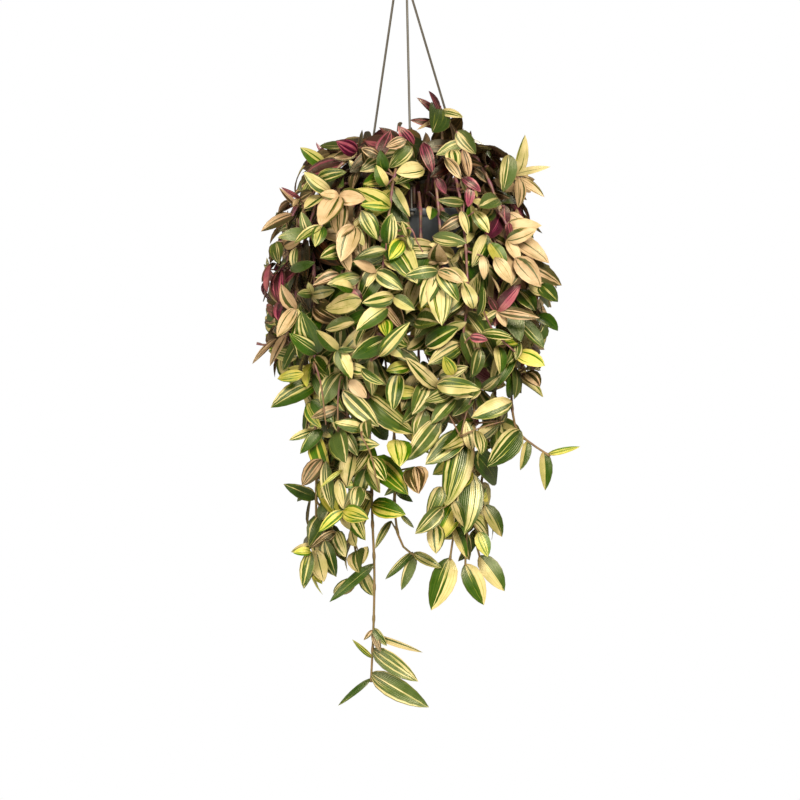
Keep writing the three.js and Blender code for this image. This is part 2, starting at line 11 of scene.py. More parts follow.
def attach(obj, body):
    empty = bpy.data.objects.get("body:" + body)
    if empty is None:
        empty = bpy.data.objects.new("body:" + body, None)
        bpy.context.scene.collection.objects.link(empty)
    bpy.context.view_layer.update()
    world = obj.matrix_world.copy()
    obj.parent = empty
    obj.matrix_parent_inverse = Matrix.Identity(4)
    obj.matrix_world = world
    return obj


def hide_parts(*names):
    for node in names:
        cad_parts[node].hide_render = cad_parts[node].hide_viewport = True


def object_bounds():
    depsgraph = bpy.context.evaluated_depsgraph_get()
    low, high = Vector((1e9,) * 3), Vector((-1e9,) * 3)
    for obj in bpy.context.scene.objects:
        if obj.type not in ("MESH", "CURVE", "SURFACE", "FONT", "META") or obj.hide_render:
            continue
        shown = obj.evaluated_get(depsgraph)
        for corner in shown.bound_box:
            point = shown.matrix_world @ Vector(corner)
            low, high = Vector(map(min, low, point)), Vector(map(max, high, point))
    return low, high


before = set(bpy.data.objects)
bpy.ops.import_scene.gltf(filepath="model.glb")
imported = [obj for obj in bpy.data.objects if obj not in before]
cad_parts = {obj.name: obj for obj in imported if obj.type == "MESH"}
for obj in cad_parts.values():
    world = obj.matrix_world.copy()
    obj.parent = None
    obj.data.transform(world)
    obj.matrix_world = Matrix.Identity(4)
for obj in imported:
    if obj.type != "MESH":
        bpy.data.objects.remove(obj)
cad_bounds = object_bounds()

# ---------------------------------------------------------------- where it is looked at
# The plant hangs in front of a white backdrop, far above a pale paper floor, in soft warm light from large
# lamps in front, above, at the left and behind. The camera looks slightly down at it, from a little above.
AIM = Vector((-0.0035, 0, -0.531))
EYE_DISTANCE = 2.170
LOOKING_DOWN = math.radians(8)
LENS = 0.085
SENSOR = 0.036
PHOTO_SIDE = 800  # pixels

camera = bpy.data.objects.new("camera", bpy.data.cameras.new("camera"))
bpy.context.collection.objects.link(camera)
bpy.context.scene.camera = camera
camera.data.lens = LENS * 1000
camera.data.sensor_width = SENSOR * 1000
away = Vector((0, -math.cos(LOOKING_DOWN), math.sin(LOOKING_DOWN)))
camera.location = AIM + away * EYE_DISTANCE
camera.rotation_mode = "QUATERNION"
camera.rotation_quaternion = (-away).to_track_quat("-Z", "Y")
viewpoint, outward = np.array(camera.location), np.array(away)
upward = np.array([0, math.sin(LOOKING_DOWN), math.cos(LOOKING_DOWN)])
PIXELS_AT_ONE = PHOTO_SIDE * LENS / SENSOR  # how many pixels a metre takes up at a metre from the eye


def photo_place(points):
    """Where points of the plant come in the photograph, in pixels from its top left."""
    seen = np.atleast_2d(points) - viewpoint
    scale = PIXELS_AT_ONE / (seen @ -outward)
    return np.stack([PHOTO_SIDE / 2 + seen[:, 0] * scale, PHOTO_SIDE / 2 - (seen @ upward) * scale], axis=1)


LAMPLIGHT = (1, 0.95, 0.82)
ROOM_LIGHT = (1, 0.90, 0.62, 1)
ROOM_STRENGTH = 0.35


def softbox(name, place, side, power):
    light = bpy.data.objects.new(name, bpy.data.lights.new(name, "AREA"))
    light.data.size = side
    light.data.energy = power
    light.data.color = LAMPLIGHT
    light.location = place
    light.rotation_mode = "QUATERNION"
    light.rotation_quaternion = (AIM - Vector(place)).to_track_quat("-Z", "Y")
    bpy.context.collection.objects.link(light)


softbox("key_light", (0.8, -2.6, 1.5), 1.1, 156)
softbox("fill_light", (-1.6, -1.9, -0.3), 1.2, 44)
softbox("back_light", (0.3, 2.0, 0.9), 1.4, 46)

world = bpy.data.worlds.new("studio")
world.use_nodes = True
studio = world.node_tree
backdrop = studio.nodes["Background"]
backdrop.inputs["Color"].default_value = (1, 1, 1, 1)
backdrop.inputs["Strength"].default_value = 1.0
room_light = studio.nodes.new("ShaderNodeBackground")
room_light.inputs["Color"].default_value = ROOM_LIGHT
room_light.inputs["Strength"].default_value = ROOM_STRENGTH
either = studio.nodes.new("ShaderNodeMixShader")
studio.links.new(studio.nodes.new("ShaderNodeLightPath").outputs["Is Camera Ray"], either.inputs[0])
studio.links.new(room_light.outputs[0], either.inputs[1])
studio.links.new(backdrop.outputs[0], either.inputs[2])
studio.links.new(either.outputs[0], studio.nodes["World Output"].inputs["Surface"])
bpy.context.scene.world = world
bpy.context.scene.view_settings.view_transform = "Standard"


def colour(hex_digits):
    """The linear red, green, blue and alpha of a colour as seen on a screen, such as "8a9a55"."""
    shares = [int(hex_digits[n : n + 2], 16) / 255 for n in (0, 2, 4)]
    return (*(((s + 0.055) / 1.055) ** 2.4 if s > 0.04 else s / 12.92 for s in shares), 1.0)


class Finish:
    """A material, and short ways to add nodes to it."""

    def __init__(self, name, roughness):
        self.material = bpy.data.materials.new(name)
        self.material.use_nodes = True
        self.tree = self.material.node_tree
        self.shader = self.tree.nodes["Principled BSDF"]
        self.feed(self.shader, {"Roughness": roughness})
        self.place = self.node("TexCoord").outputs["Object"]

    def feed(self, node, given):
        for socket, value in given.items():
            if isinstance(value, bpy.types.NodeSocket):
                self.tree.links.new(value, node.inputs[socket])
            else:
                node.inputs[socket].default_value = value

    def node(self, kind, given=(), **settings):
        made = self.tree.nodes.new("ShaderNode" + kind)
        for setting, value in settings.items():
            setattr(made, setting, value)
        self.feed(made, dict(given))
        return made

    def maths(self, operation, *values):
        return self.node("Math", enumerate(values), operation=operation).outputs[0]

    def between(self, value, low, high, to_low=0.0, to_high=1.0):
        """value brought from the range low to high to another range, with a soft start and end."""
        return self.node(
            "MapRange",
            {0: value, 1: low, 2: high, 3: to_low, 4: to_high},
            interpolation_type="SMOOTHSTEP",
        ).outputs[0]

    def attribute(self, name, part):
        return self.node("Attribute", attribute_name=name).outputs[part]

    def parts(self, vector):
        return self.node("SeparateXYZ", {0: vector}).outputs

    def mix(self, share, first, second, how="MIX"):
        made = self.node("Mix", data_type="RGBA", blend_type=how)
        self.feed(made, {0: share, 6: first, 7: second})
        return made.outputs[2]

    def speckle(self, scale, detail=3.0, place=None):
        return self.node(
            "TexNoise", {"Vector": place or self.place, "Scale": scale, "Detail": detail}
        ).outputs[0]

    def bump(self, height, strength, depth):
        return self.node("Bump", {"Height": height, "Strength": strength, "Distance": depth}).outputs[0]


def piece(name, bm, finish, slot=None, stands_for=()):
    """The finished mesh as an object; one given a slot hangs with the plant in place of the CAD parts it
    stands for.
    """
    mesh = bpy.data.meshes.new(name)
    bm.to_mesh(mesh)
    bm.free()
    made = bpy.data.objects.new(name, mesh)
    bpy.context.collection.objects.link(made)
    mesh.materials.append(finish.material)
    if slot:
        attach(made, "root")
        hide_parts(*stands_for)
    return made


FLOOR_HEIGHT = -2.6
FLOOR_RADIUS = 4.2
paper = Finish("pale_paper", 0.8)
paper.feed(paper.shader, {"Base Color": paper.mix(paper.speckle(3.0), colour("e9effa"), colour("eef3fc"))})
sheet = bmesh.new()
at_floor = Matrix.Translation((0, 0, FLOOR_HEIGHT))
bmesh.ops.create_circle(sheet, cap_ends=True, segments=96, radius=FLOOR_RADIUS, matrix=at_floor)
floor = piece("floor", sheet, paper)

# ---------------------------------------------------------------- hook and crown
# The hanger's top is one moulding in dark olive-grey plastic: a question-mark hook that rises from a thick
# round crown. The three strands are pulled through the crown's holes and held by their ball ends.
HOOK_ROD = 0.0025
HOOK_RADIUS = 0.0125
CROWN_DROP = 0.060
CROWN_THICKNESS = 0.005
CROWN_RADIUS = 0.011
CROWN_CIRCLE = 0.0074

hanger_finish = Finish("hanger_plastic", 0.42)
hanger_grain = hanger_finish.speckle(900, 2)
hanger_finish.feed(
    hanger_finish.shader,
    {
        "Base Color": hanger_finish.mix(hanger_finish.speckle(60, 4), colour("3d3932"), colour("57514a")),
        "Normal": hanger_finish.bump(hanger_grain, 0.12, 0.0002),
    },
)


def along_curve(points, shares):
    """Places on the smooth curve that passes through the points, at shares of its count of points."""
    ends = [2 * points[0] - points[1], *points, 2 * points[-1] - points[-2]]
    ends = np.array(ends, float)
    place = np.clip(shares, 0, 1) * (len(points) - 1)
    first = np.minimum(place.astype(int), len(points) - 2)
    part = (place - first)[:, None]
    a, b, c, d = (ends[first + n] for n in range(4))
    leaving, coming = (c - a) / 2, (d - b) / 2
    bend = 3 * (c - b) - 2 * leaving - coming
    return b + leaving * part + bend * part**2 + (2 * (b - c) + leaving + coming) * part**3


def evenly(points, shares):
    """Places on the same curve at shares of its length, and the length."""
    points = [np.array(point, float) for point in points]
    fine = np.linspace(0, 1, 201)
    run = along_curve(points, fine)
    lengths = np.concatenate([[0], np.cumsum(np.linalg.norm(np.diff(run, axis=0), axis=1))])
    return along_curve(points, np.interp(np.array(shares) * lengths[-1], lengths, fine)), lengths[-1]


def once_each(parts):
    """The parts, each once, in the order in which they are met, so that every run makes the same mesh."""
    return list(dict.fromkeys(parts))


def sweep(bm, centres, radii, sides):
    """A closed round rod through the centres: one circle, extruded from each centre to the next."""
    centres = [Vector(centre) for centre in centres]
    heading = (centres[1] - centres[0]).normalized()
    start = Matrix.Translation(centres[0]) @ heading.to_track_quat("Z", "Y").to_matrix().to_4x4()
    ring = bmesh.ops.create_circle(bm, segments=sides, radius=radii[0], matrix=start)["verts"]
    edges = once_each(edge for vert in ring for edge in vert.link_edges)
    caps = [edges]
    made = list(ring)
    for n in range(1, len(centres)):
        ahead = centres[min(n + 1, len(centres) - 1)] - centres[n - 1]
        turn = heading.rotation_difference(ahead.normalized())
        grown = radii[n] / radii[n - 1]
        out = bmesh.ops.extrude_edge_only(bm, edges=edges)["geom"]
        ring = [part for part in out if isinstance(part, bmesh.types.BMVert)]
        touching = once_each(edge for vert in ring for edge in vert.link_edges)
        edges = [edge for edge in touching if all(vert in ring for vert in edge.verts)]
        for vert in ring:
            vert.co = centres[n] + turn @ (vert.co - centres[n - 1]) * grown
        heading = ahead.normalized()
        made += ring
    caps.append(edges)
    for cap in caps:
        bmesh.ops.holes_fill(bm, edges=cap, sides=0)
    faces = once_each(face for vert in made for face in vert.link_faces)
    bmesh.ops.recalc_face_normals(bm, faces=faces)
    for face in faces:
        face.smooth = len(face.verts) == 4
    return made


def turned(bm, profile, steps, centre=(0, 0, 0)):
    """A profile of (radius, height) spun round an upright axis into a closed solid."""
    chain = [bm.verts.new((radius, 0, height)) for radius, height in profile]
    edges = [bm.edges.new(pair) for pair in zip(chain, chain[1:])]
    spun = bmesh.ops.spin(
        bm, geom=chain + edges, axis=(0, 0, 1), cent=(0, 0, 0), steps=steps, angle=2 * math.pi, use_merge=True
    )
    last = [vert for part in spun["geom_last"] for vert in getattr(part, "verts", [part])]
    reached = dict.fromkeys(last + chain)
    edge_of = list(reached)
    while edge_of:
        for edge in edge_of.pop().link_edges:
            for vert in edge.verts:
                if vert not in reached:
                    reached[vert] = None
                    edge_of.append(vert)
    bmesh.ops.remove_doubles(bm, verts=list(reached), dist=1e-6)
    kept = [vert for vert in reached if vert.is_valid]
    faces = once_each(face for vert in kept for face in vert.link_faces)
    bmesh.ops.recalc_face_normals(bm, faces=faces)
    for face in faces:
        face.smooth = True
    bmesh.ops.translate(bm, verts=kept, vec=centre)
    return kept


def sharpen(bm, degrees=38):
    """Edges that turn by more than this many degrees stay crisp."""
    for edge in bm.edges:
        if len(edge.link_faces) == 2:
            edge.smooth = edge.calc_face_angle(0) < math.radians(degrees)


hook = bmesh.new()
bend = [math.radians(degrees) for degrees in (0, 45, 90, 135, 180, 205)]
hook_route = [(0, 0, -CROWN_DROP + 0.002), (0, 0, -0.040), (0.007, 0, -0.027)]
hook_route += [
    (HOOK_RADIUS * math.cos(angle), 0, HOOK_RADIUS * math.sin(angle) + HOOK_ROD - HOOK_RADIUS)
    for angle in bend
]
hook_line, _ = evenly(hook_route, np.linspace(0, 1, 64))
tip_rounding = [math.sin(math.acos(s)) for s in (0, 0.5, 0.8, 0.95)]
hook_radii = [HOOK_ROD] * 60 + [HOOK_ROD * share for share in tip_rounding]
sweep(hook, hook_line, hook_radii, 20)
crown_top = -CROWN_DROP + CROWN_THICKNESS
crown_profile = [
    (0, -CROWN_DROP), (0.0094, -CROWN_DROP), (0.0104, -CROWN_DROP + 0.0003),
    (CROWN_RADIUS, -CROWN_DROP + 0.001), (CROWN_RADIUS, crown_top - 0.001), (0.0104, crown_top - 0.0003),
    (0.0094, crown_top), (0.0048, crown_top), (0.0034, crown_top + 0.0012), (0.0026, crown_top + 0.0045),
    (0, crown_top + 0.0045),
]
turned(hook, crown_profile, 48)
sharpen(hook)
piece("hook_and_crown", hook, hanger_finish, "hanger_plastic", ["hanger_hook"])

# ---------------------------------------------------------------- strands
# Three straight rods of the same plastic, thinner than a pencil lead's sleeve, each with a ball moulded on
# both ends. They run taut from the crown's holes to the three lugs in the pot's rim.
POT_PLACE = Vector((0.015, 0, -0.309))  # the middle of the rim's top
LUG_CIRCLE = 0.0738
FIRST_LUG = -94.5
CROWN_TWIST = 34.5
LUG_THICKNESS = 0.003
STRAND_RADIUS = 0.0013
BALL_RADIUS = 0.0027
BALL_BEYOND = 0.00575
BALL_BELOW = 0.0047


def on_circle(radius, degrees, height=0.0):
    angle = math.radians(degrees)
    return Vector((radius * math.cos(angle), radius * math.sin(angle), height))


lug_angles = [FIRST_LUG + 120 * k for k in range(3)]
for where, degrees in zip(("front", "right", "left"), lug_angles):
    crown_hole = on_circle(CROWN_CIRCLE, degrees + CROWN_TWIST, -CROWN_DROP + CROWN_THICKNESS / 2)
    lug_hole = on_circle(LUG_CIRCLE, degrees, -LUG_THICKNESS / 2) + POT_PLACE
    pull = (crown_hole - lug_hole).normalized()
    upper, lower = crown_hole + pull * BALL_BEYOND, lug_hole - pull * BALL_BELOW
    rod = bmesh.new()
    sweep(rod, [lower, lower.lerp(upper, 0.5), upper], [STRAND_RADIUS] * 3, 14)
    for end in (lower, upper):
        bmesh.ops.create_uvsphere(
            rod, u_segments=20, v_segments=12, radius=BALL_RADIUS, matrix=Matrix.Translation(end)
        )
    for face in rod.faces:
        face.smooth = True
    sharpen(rod)
    piece("strand_" + where, rod, hanger_finish, "hanger_plastic", ["hanger_strand_" + where])

# ---------------------------------------------------------------- pot
# A thin-walled pot moulded in dark slate-grey plastic, with a rolled rim, three lugs for the hanger, a foot
# ring and four drain holes. Its wall is satin, faintly scuffed, with specks of dust.
RIM_RADIUS = 0.070
POT_HEIGHT = 0.108
BASE_RADIUS = 0.050
POT_WALL = 0.0018
RIM_LIP = 0.003
RIM_DEPTH = 0.007
FOOT_RING = 0.002
FLOOR_THICKNESS = 0.0022
LUG_HALF = 0.0046
DRAIN_RADIUS = 0.004
DRAINS = 4


def wall_radius(height):
    return BASE_RADIUS + (RIM_RADIUS - RIM_LIP - BASE_RADIUS) * (height + POT_HEIGHT) / POT_HEIGHT


pot_finish = Finish("pot_plastic", 0.5)
scuffs = pot_finish.speckle(35, 6)
pot_colour = pot_finish.mix(pot_finish.between(scuffs, 0.35, 0.7), colour("474b51"), colour("5b6066"))
dust = pot_finish.between(pot_finish.speckle(220, 5), 0.62, 0.8)
pot_finish.feed(
    pot_finish.shader,
    {
        "Base Color": pot_finish.mix(dust, pot_colour, colour("7b7a74")),
        "Roughness": pot_finish.between(scuffs, 0.3, 0.7, 0.42, 0.6),
        "Normal": pot_finish.bump(pot_finish.speckle(1400, 2), 0.15, 0.0002),
    },
)
pot = bmesh.new()
floor_under = -POT_HEIGHT + FOOT_RING
floor_top = floor_under + FLOOR_THICKNESS
pot_profile = [
    (0, floor_under), (BASE_RADIUS - 0.009, floor_under), (BASE_RADIUS - 0.0075, -POT_HEIGHT),
    (BASE_RADIUS - 0.0008, -POT_HEIGHT), (BASE_RADIUS, -POT_HEIGHT + 0.0008), (wall_radius(-0.0105), -0.0105),
    (wall_radius(-0.0095) + 0.0004, -0.0092), (RIM_RADIUS - 0.0006, -RIM_DEPTH),
    (RIM_RADIUS, -RIM_DEPTH + 0.0006), (RIM_RADIUS, -0.0012), (RIM_RADIUS - 0.0004, -0.0004),
    (RIM_RADIUS - 0.0012, 0), (RIM_RADIUS - RIM_LIP - POT_WALL + 0.0006, 0),
    (RIM_RADIUS - RIM_LIP - POT_WALL, -0.0006), (BASE_RADIUS - POT_WALL, floor_top + 0.0008),
    (BASE_RADIUS - POT_WALL - 0.001, floor_top), (0, floor_top),
]
turned(pot, pot_profile, 96, POT_PLACE)
sharpen(pot, 50)
pot_piece = piece("pot_wall", pot, pot_finish, "pot_plastic", ["pot"])
drills = bmesh.new()
for k in range(DRAINS):
    spot = POT_PLACE + on_circle(BASE_RADIUS * 0.55, 360 / DRAINS * k, floor_top)
    bmesh.ops.create_cone(
        drills, cap_ends=True, segments=24, radius1=DRAIN_RADIUS, radius2=DRAIN_RADIUS, depth=0.01,
        matrix=Matrix.Translation(spot),
    )
drill = bpy.data.objects.new("drill", bpy.data.meshes.new("drill"))
drills.to_mesh(drill.data)
drills.free()
bpy.context.collection.objects.link(drill)
drilling = pot_piece.modifiers.new("drain_holes", "BOOLEAN")
drilling.operation, drilling.solver, drilling.object = "DIFFERENCE", "EXACT", drill
drilled = bpy.data.meshes.new_from_object(pot_piece.evaluated_get(bpy.context.evaluated_depsgraph_get()))
pot_piece.modifiers.clear()
pot_piece.data = drilled
bpy.data.objects.remove(drill)

lugs = bmesh.new()
for degrees in lug_angles:
    eye = [
        (0.0018, -LUG_THICKNESS + 0.0004), (0.0022, -LUG_THICKNESS), (LUG_HALF - 0.0005, -LUG_THICKNESS),
        (LUG_HALF, -LUG_THICKNESS + 0.0005), (LUG_HALF, -0.0005), (LUG_HALF - 0.0005, 0), (0.0022, 0),
        (0.0018, -0.0004), (0.0018, -LUG_THICKNESS + 0.0004),
    ]
    turned(lugs, eye, 32, POT_PLACE + on_circle(LUG_CIRCLE, degrees, -0.0001))
    web = Matrix.Translation(POT_PLACE + on_circle(RIM_RADIUS - 0.0002, degrees, -LUG_THICKNESS / 2 - 0.0003))
    web = web @ Matrix.Rotation(math.radians(degrees), 4, "Z") @ Matrix.Diagonal((0.0024, 0.0082, 0.0022, 1))
    bmesh.ops.create_cube(lugs, size=1, matrix=web)
sharpen(lugs, 50)
piece("pot_lugs", lugs, pot_finish, "pot_plastic", ["pot"])

# ---------------------------------------------------------------- soil
# A domed root ball of dark peat with bark crumbs and a few pale grains, lumpy on top. The stems come up out
# of it, and it is seen where they part at the front.
SOIL_BELOW_RIM = 0.009
SOIL_DOME = 0.010
CRUMBS = 420

soil_edge = wall_radius(-SOIL_BELOW_RIM)


def soil_height(radius):
    return -SOIL_BELOW_RIM + SOIL_DOME * (1 - (radius / soil_edge) ** 2)


def draw(low, high, *keys):
    """A repeatable random number from low to high for what its whole-number keys name, as in the CAD."""
    word = 0xFFFFFFFF
    h = 2166136261
    for key in keys:
        h = (h ^ (key + 40503)) * 16777619 & word
        h ^= h >> 15
        h = h * 739982445 & word
        h ^= h >> 12
    h = (h ^ (h >> 15)) * 695872825 & word
    return low + (high - low) * (h ^ (h >> 15)) / 4294967296


soil_finish = Finish("peat", 0.95)
clods = soil_finish.speckle(260, 8)
peat = soil_finish.mix(soil_finish.between(clods, 0.3, 0.7), colour("140c09"), colour("4a3327"))
grit = soil_finish.between(soil_finish.speckle(700, 2), 0.68, 0.74)
soil_finish.feed(
    soil_finish.shader,
    {
        "Base Color": soil_finish.mix(grit, peat, colour("8d7a66")),
        "Normal": soil_finish.bump(clods, 0.9, 0.0015),
    },
)
soil = bmesh.new()
inner = [wall_radius(h) - POT_WALL - 0.0009 for h in (floor_top, -SOIL_BELOW_RIM)]
rings = [inner[1] * (1 - n / 18) for n in range(19)]
soil_profile = [(0, floor_top + 0.0003), (inner[0], floor_top + 0.0003)]
soil_profile += [(radius, soil_height(radius)) for radius in rings]
turned(soil, soil_profile, 72)
for vert in soil.verts:
    if vert.co.z > -SOIL_BELOW_RIM - 0.0005:
        lumps = noise.noise(vert.co * 140) * 0.0022 + noise.noise(vert.co * 420) * 0.0012
        vert.co.z += lumps * min(1, (inner[1] - vert.co.to_2d().length) / 0.004)
for k in range(CRUMBS):
    radius = soil_edge * 0.93 * math.sqrt(draw(0, 1, k, 71))
    size = draw(0.0006, 0.0021, k, 72)
    spot = on_circle(radius, draw(0, 360, k, 73), soil_height(radius) + size * 0.3)
    shape = Matrix.Translation(spot) @ Matrix.Rotation(draw(0, 6.3, k, 74), 4, "Z")
    shape = shape @ Matrix.Diagonal((1, draw(0.6, 1, k, 75), draw(0.5, 0.9, k, 76), 1))
    bmesh.ops.create_icosphere(soil, subdivisions=1, radius=size, matrix=shape)
bmesh.ops.translate(soil, verts=soil.verts, vec=POT_PLACE)
piece("root_ball", soil, soil_finish, "soil", ["soil"])

# ---------------------------------------------------------------- stems
# Fleshy stems, a few millimetres thick, with a swollen joint wherever a leaf clasps them. They rise out of
# the soil, arch over the rim and trail. This section settles their courses, as the CAD has them. They are
# drawn at the end, each with its side shoots.
ROOT_DEPTH = 0.009
NODE_STEP = 0.035
STEM_RADIUS = 0.0017
STEM_TRIES = 30
STEM_SWING = 2
SAME_PLACE = 0.00003  # two places nearer than this are one

# The long tails and stray sprays, as in the CAD: the height down to which a stem is leafy, and its course
# from just above the soil to its tip, from the middle of the rim: right, back and up.
PLACED_STEMS = {
    "runner": (-0.330, [
        (-0.037, -0.052, 0.020), (-0.051, -0.088, -0.007), (-0.055, -0.108, -0.097),
        (-0.053, -0.108, -0.207), (-0.050, -0.104, -0.296), (-0.049, -0.100, -0.342),
        (-0.047, -0.098, -0.399), (-0.048, -0.096, -0.462), (-0.051, -0.095, -0.528),
    ]),
    "small_tail": (-0.250, [
        (-0.020, -0.054, 0.014), (-0.026, -0.090, -0.030), (-0.027, -0.100, -0.131),
        (-0.025, -0.098, -0.230), (-0.025, -0.094, -0.309), (-0.022, -0.092, -0.353),
        (-0.014, -0.092, -0.375), (-0.001, -0.092, -0.384),
    ]),
    "right_sprig": (-0.185, [
        (0.038, -0.040, 0.022), (0.074, -0.080, 0), (0.094, -0.095, -0.088), (0.103, -0.088, -0.165),
        (0.105, -0.085, -0.216), (0.111, -0.084, -0.244), (0.127, -0.084, -0.259), (0.148, -0.084, -0.273),
    ]),
    "left_sprig": (-0.100, [
        (-0.048, -0.024, 0.026), (-0.098, -0.046, 0.034), (-0.133, -0.060, -0.024), (-0.138, -0.060, -0.091),
        (-0.143, -0.060, -0.138), (-0.161, -0.060, -0.152), (-0.178, -0.060, -0.150),
    ]),
    "top_sprig": (0.200, [
        (0.024, -0.008, 0.024), (0.028, -0.008, 0.063), (0.029, -0.008, 0.091), (0.026, -0.008, 0.112),
    ]),
    "right_spray": (0.040, [
        (0.043, -0.020, 0.024), (0.079, -0.034, 0.045), (0.103, -0.044, 0.041), (0.115, -0.050, 0.030),
    ]),
    "left_spray": (0.050, [
        (-0.035, -0.010, 0.029), (-0.074, -0.020, 0.054), (-0.096, -0.030, 0.051), (-0.107, -0.036, 0.044),
    ]),
    "left_shoot": (0, [
        (-0.046, -0.018, 0.020), (-0.102, -0.034, 0.024), (-0.129, -0.044, 0.005), (-0.139, -0.048, -0.012),
    ]),
    "right_shoot": (-0.400, [
        (0.034, -0.046, 0.020), (0.087, -0.086, 0.004), (0.108, -0.098, -0.026), (0.117, -0.104, -0.060),
    ]),
    "left_tail_outer": (-0.500, [
        (-0.052, -0.034, 0.022), (-0.106, -0.076, -0.012), (-0.112, -0.088, -0.121), (-0.112, -0.082, -0.233),
        (-0.112, -0.076, -0.318), (-0.114, -0.072, -0.376), (-0.118, -0.070, -0.396),
    ]),
    "left_tail_middle": (-0.500, [
        (-0.056, -0.014, 0.024), (-0.094, -0.042, 0.008), (-0.104, -0.058, -0.084), (-0.094, -0.066, -0.200),
        (-0.092, -0.066, -0.290), (-0.094, -0.064, -0.362),
    ]),
    "left_tail_inner": (-0.500, [
        (-0.046, -0.042, 0.020), (-0.076, -0.090, -0.012), (-0.081, -0.102, -0.120), (-0.076, -0.098, -0.230),
        (-0.074, -0.092, -0.321), (-0.068, -0.088, -0.380), (-0.061, -0.086, -0.402),
    ]),
    "middle_tail": (-0.500, [
        (0.002, -0.056, 0.016), (0.004, -0.092, -0.014), (0.002, -0.104, -0.098), (0.002, -0.104, -0.180),
        (0.004, -0.102, -0.230),
    ]),
    "right_tail_inner": (-0.370, [
        (0.012, -0.054, 0.016), (0.032, -0.092, -0.014), (0.038, -0.104, -0.098), (0.045, -0.104, -0.185),
        (0.052, -0.102, -0.252), (0.046, -0.096, -0.320), (0.037, -0.092, -0.389),
    ]),
    "right_tail_middle": (-0.370, [
        (0.028, -0.048, 0.018), (0.056, -0.086, -0.012), (0.069, -0.094, -0.099), (0.070, -0.094, -0.187),
        (0.068, -0.092, -0.287), (0.062, -0.088, -0.356), (0.060, -0.086, -0.410),
    ]),
    "right_tail_outer": (-0.370, [
        (0.046, -0.030, 0.024), (0.085, -0.062, -0.004), (0.092, -0.072, -0.101), (0.086, -0.072, -0.212),
        (0.073, -0.070, -0.302), (0.066, -0.068, -0.362), (0.076, -0.066, -0.409),
    ]),
}
RULED_STEMS = 34
GOLDEN_ANGLE = 137.508
ROOT_CIRCLE = 0.055
# Of the stems rooted out to this share: how high they arch, how far out they hang, and where their tips are
SHELLS = [
    (0.24, 0.066, 0.074, (0.040, 0.012)),
    (0.58, 0.060, 0.145, (-0.120, -0.225)),
    (0.82, 0.043, 0.121, (-0.150, -0.270)),
    (1.00, 0.015, 0.095, (-0.170, -0.300)),
]
WAIST = -0.080
LEAN = 0.008


def ruled_course(k):
    share = (k + 0.5) / RULED_STEMS
    _, arch, reach, ends = next(shell for shell in SHELLS if share <= shell[0])
    root_radius = ROOT_CIRCLE * math.sqrt(share)
    arch += draw(-0.006, 0.006, k, 1)
    reach += draw(-0.004, 0.004, k, 2) - LEAN * math.cos(math.radians(k * GOLDEN_ANGLE))
    end = draw(*ends, k, 3)
    drift = draw(-9, 9, k, 4)
    waist = max(WAIST, end)

    def at(radius, turn, height):
        return on_circle(radius, k * GOLDEN_ANGLE + turn, height)

    course = [
        at(root_radius + 0.002, 0, soil_height(root_radius) + 0.014),
        at(root_radius + (reach - root_radius) * 0.36, 0, arch),
        at(reach * 0.8, drift * 0.2, arch - (arch - waist) * 0.3),
        at(reach, drift * 0.4, waist),
    ]
    falls = math.ceil((waist - end) / 0.090)
    for n in range(1, falls + 1):
        height = waist - (waist - end) * n / falls
        part = min(1, max(0, (-height - 0.120) / 0.200))
        drawn_in = 1 - 0.38 * part * part * (3 - 2 * part)
        course.append(at(reach * drawn_in, drift * (0.4 + 0.6 * n / falls), height))
    return course


class Stem:
    """A stem's course, with the places of its joints from its foot to its tip."""

    def __init__(self, name, number, leafy_to, course, swing):
        self.name, self.number, self.leafy_to = name, number, leafy_to
        turn = Matrix.Rotation(swing, 3, "Z")
        above = [turn @ Vector(point) for point in course]
        radius = max(0.004, above[0].to_2d().length - 0.004)
        foot = above[0].to_2d().normalized() * radius
        foot = Vector((*foot, soil_height(radius) - ROOT_DEPTH))
        self.points = [np.array(point + POT_PLACE) for point in (foot, *above)]
        _, self.length = evenly(self.points, [0, 1])
        self.steps = max(3, math.floor(self.length / NODE_STEP + 0.5))
        self.nodes, _ = evenly(self.points, np.linspace(0, 1, self.steps + 1))

    def at(self, step):
        return evenly(self.points, [step / self.steps])[0][0]


plans = [(name, *plan) for name, plan in PLACED_STEMS.items()]
plans += [(f"ruled_{k}", -1.0, ruled_course(k)) for k in range(RULED_STEMS)]
stems = []
cad_points = []
for number, plan in enumerate(plans):
    node_name = f"leafy_stem_{len(stems) + 1:02d}"
    if node_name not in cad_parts:
        break
    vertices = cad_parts[node_name].data.vertices
    tree = KDTree(len(vertices))
    for n, vertex in enumerate(vertices):
        tree.insert(vertex.co, n)
    tree.balance()
    # The stem swings aside as far as the CAD's did: the ring at its foot shows how far. A plan that found no
    # room has no stem.
    for attempt in range(STEM_TRIES):
        swing = math.ceil(attempt / 2) * (1 if attempt % 2 else -1) * math.radians(STEM_SWING)
        stem = Stem(plan[0], number, plan[1], plan[2], swing)
        ring = tree.find_range(stem.nodes[0], STEM_RADIUS + SAME_PLACE)
        corners = [spot for spot, _, far in ring if far > STEM_RADIUS - SAME_PLACE]
        if len({tuple(round(x, 5) for x in spot) for spot in corners}) == 3:
            stems.append(stem)
            cad_points.append(tree)
            break
if f"leafy_stem_{len(stems) + 1:02d}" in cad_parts:
    raise RuntimeError("the stems do not match the CAD's")

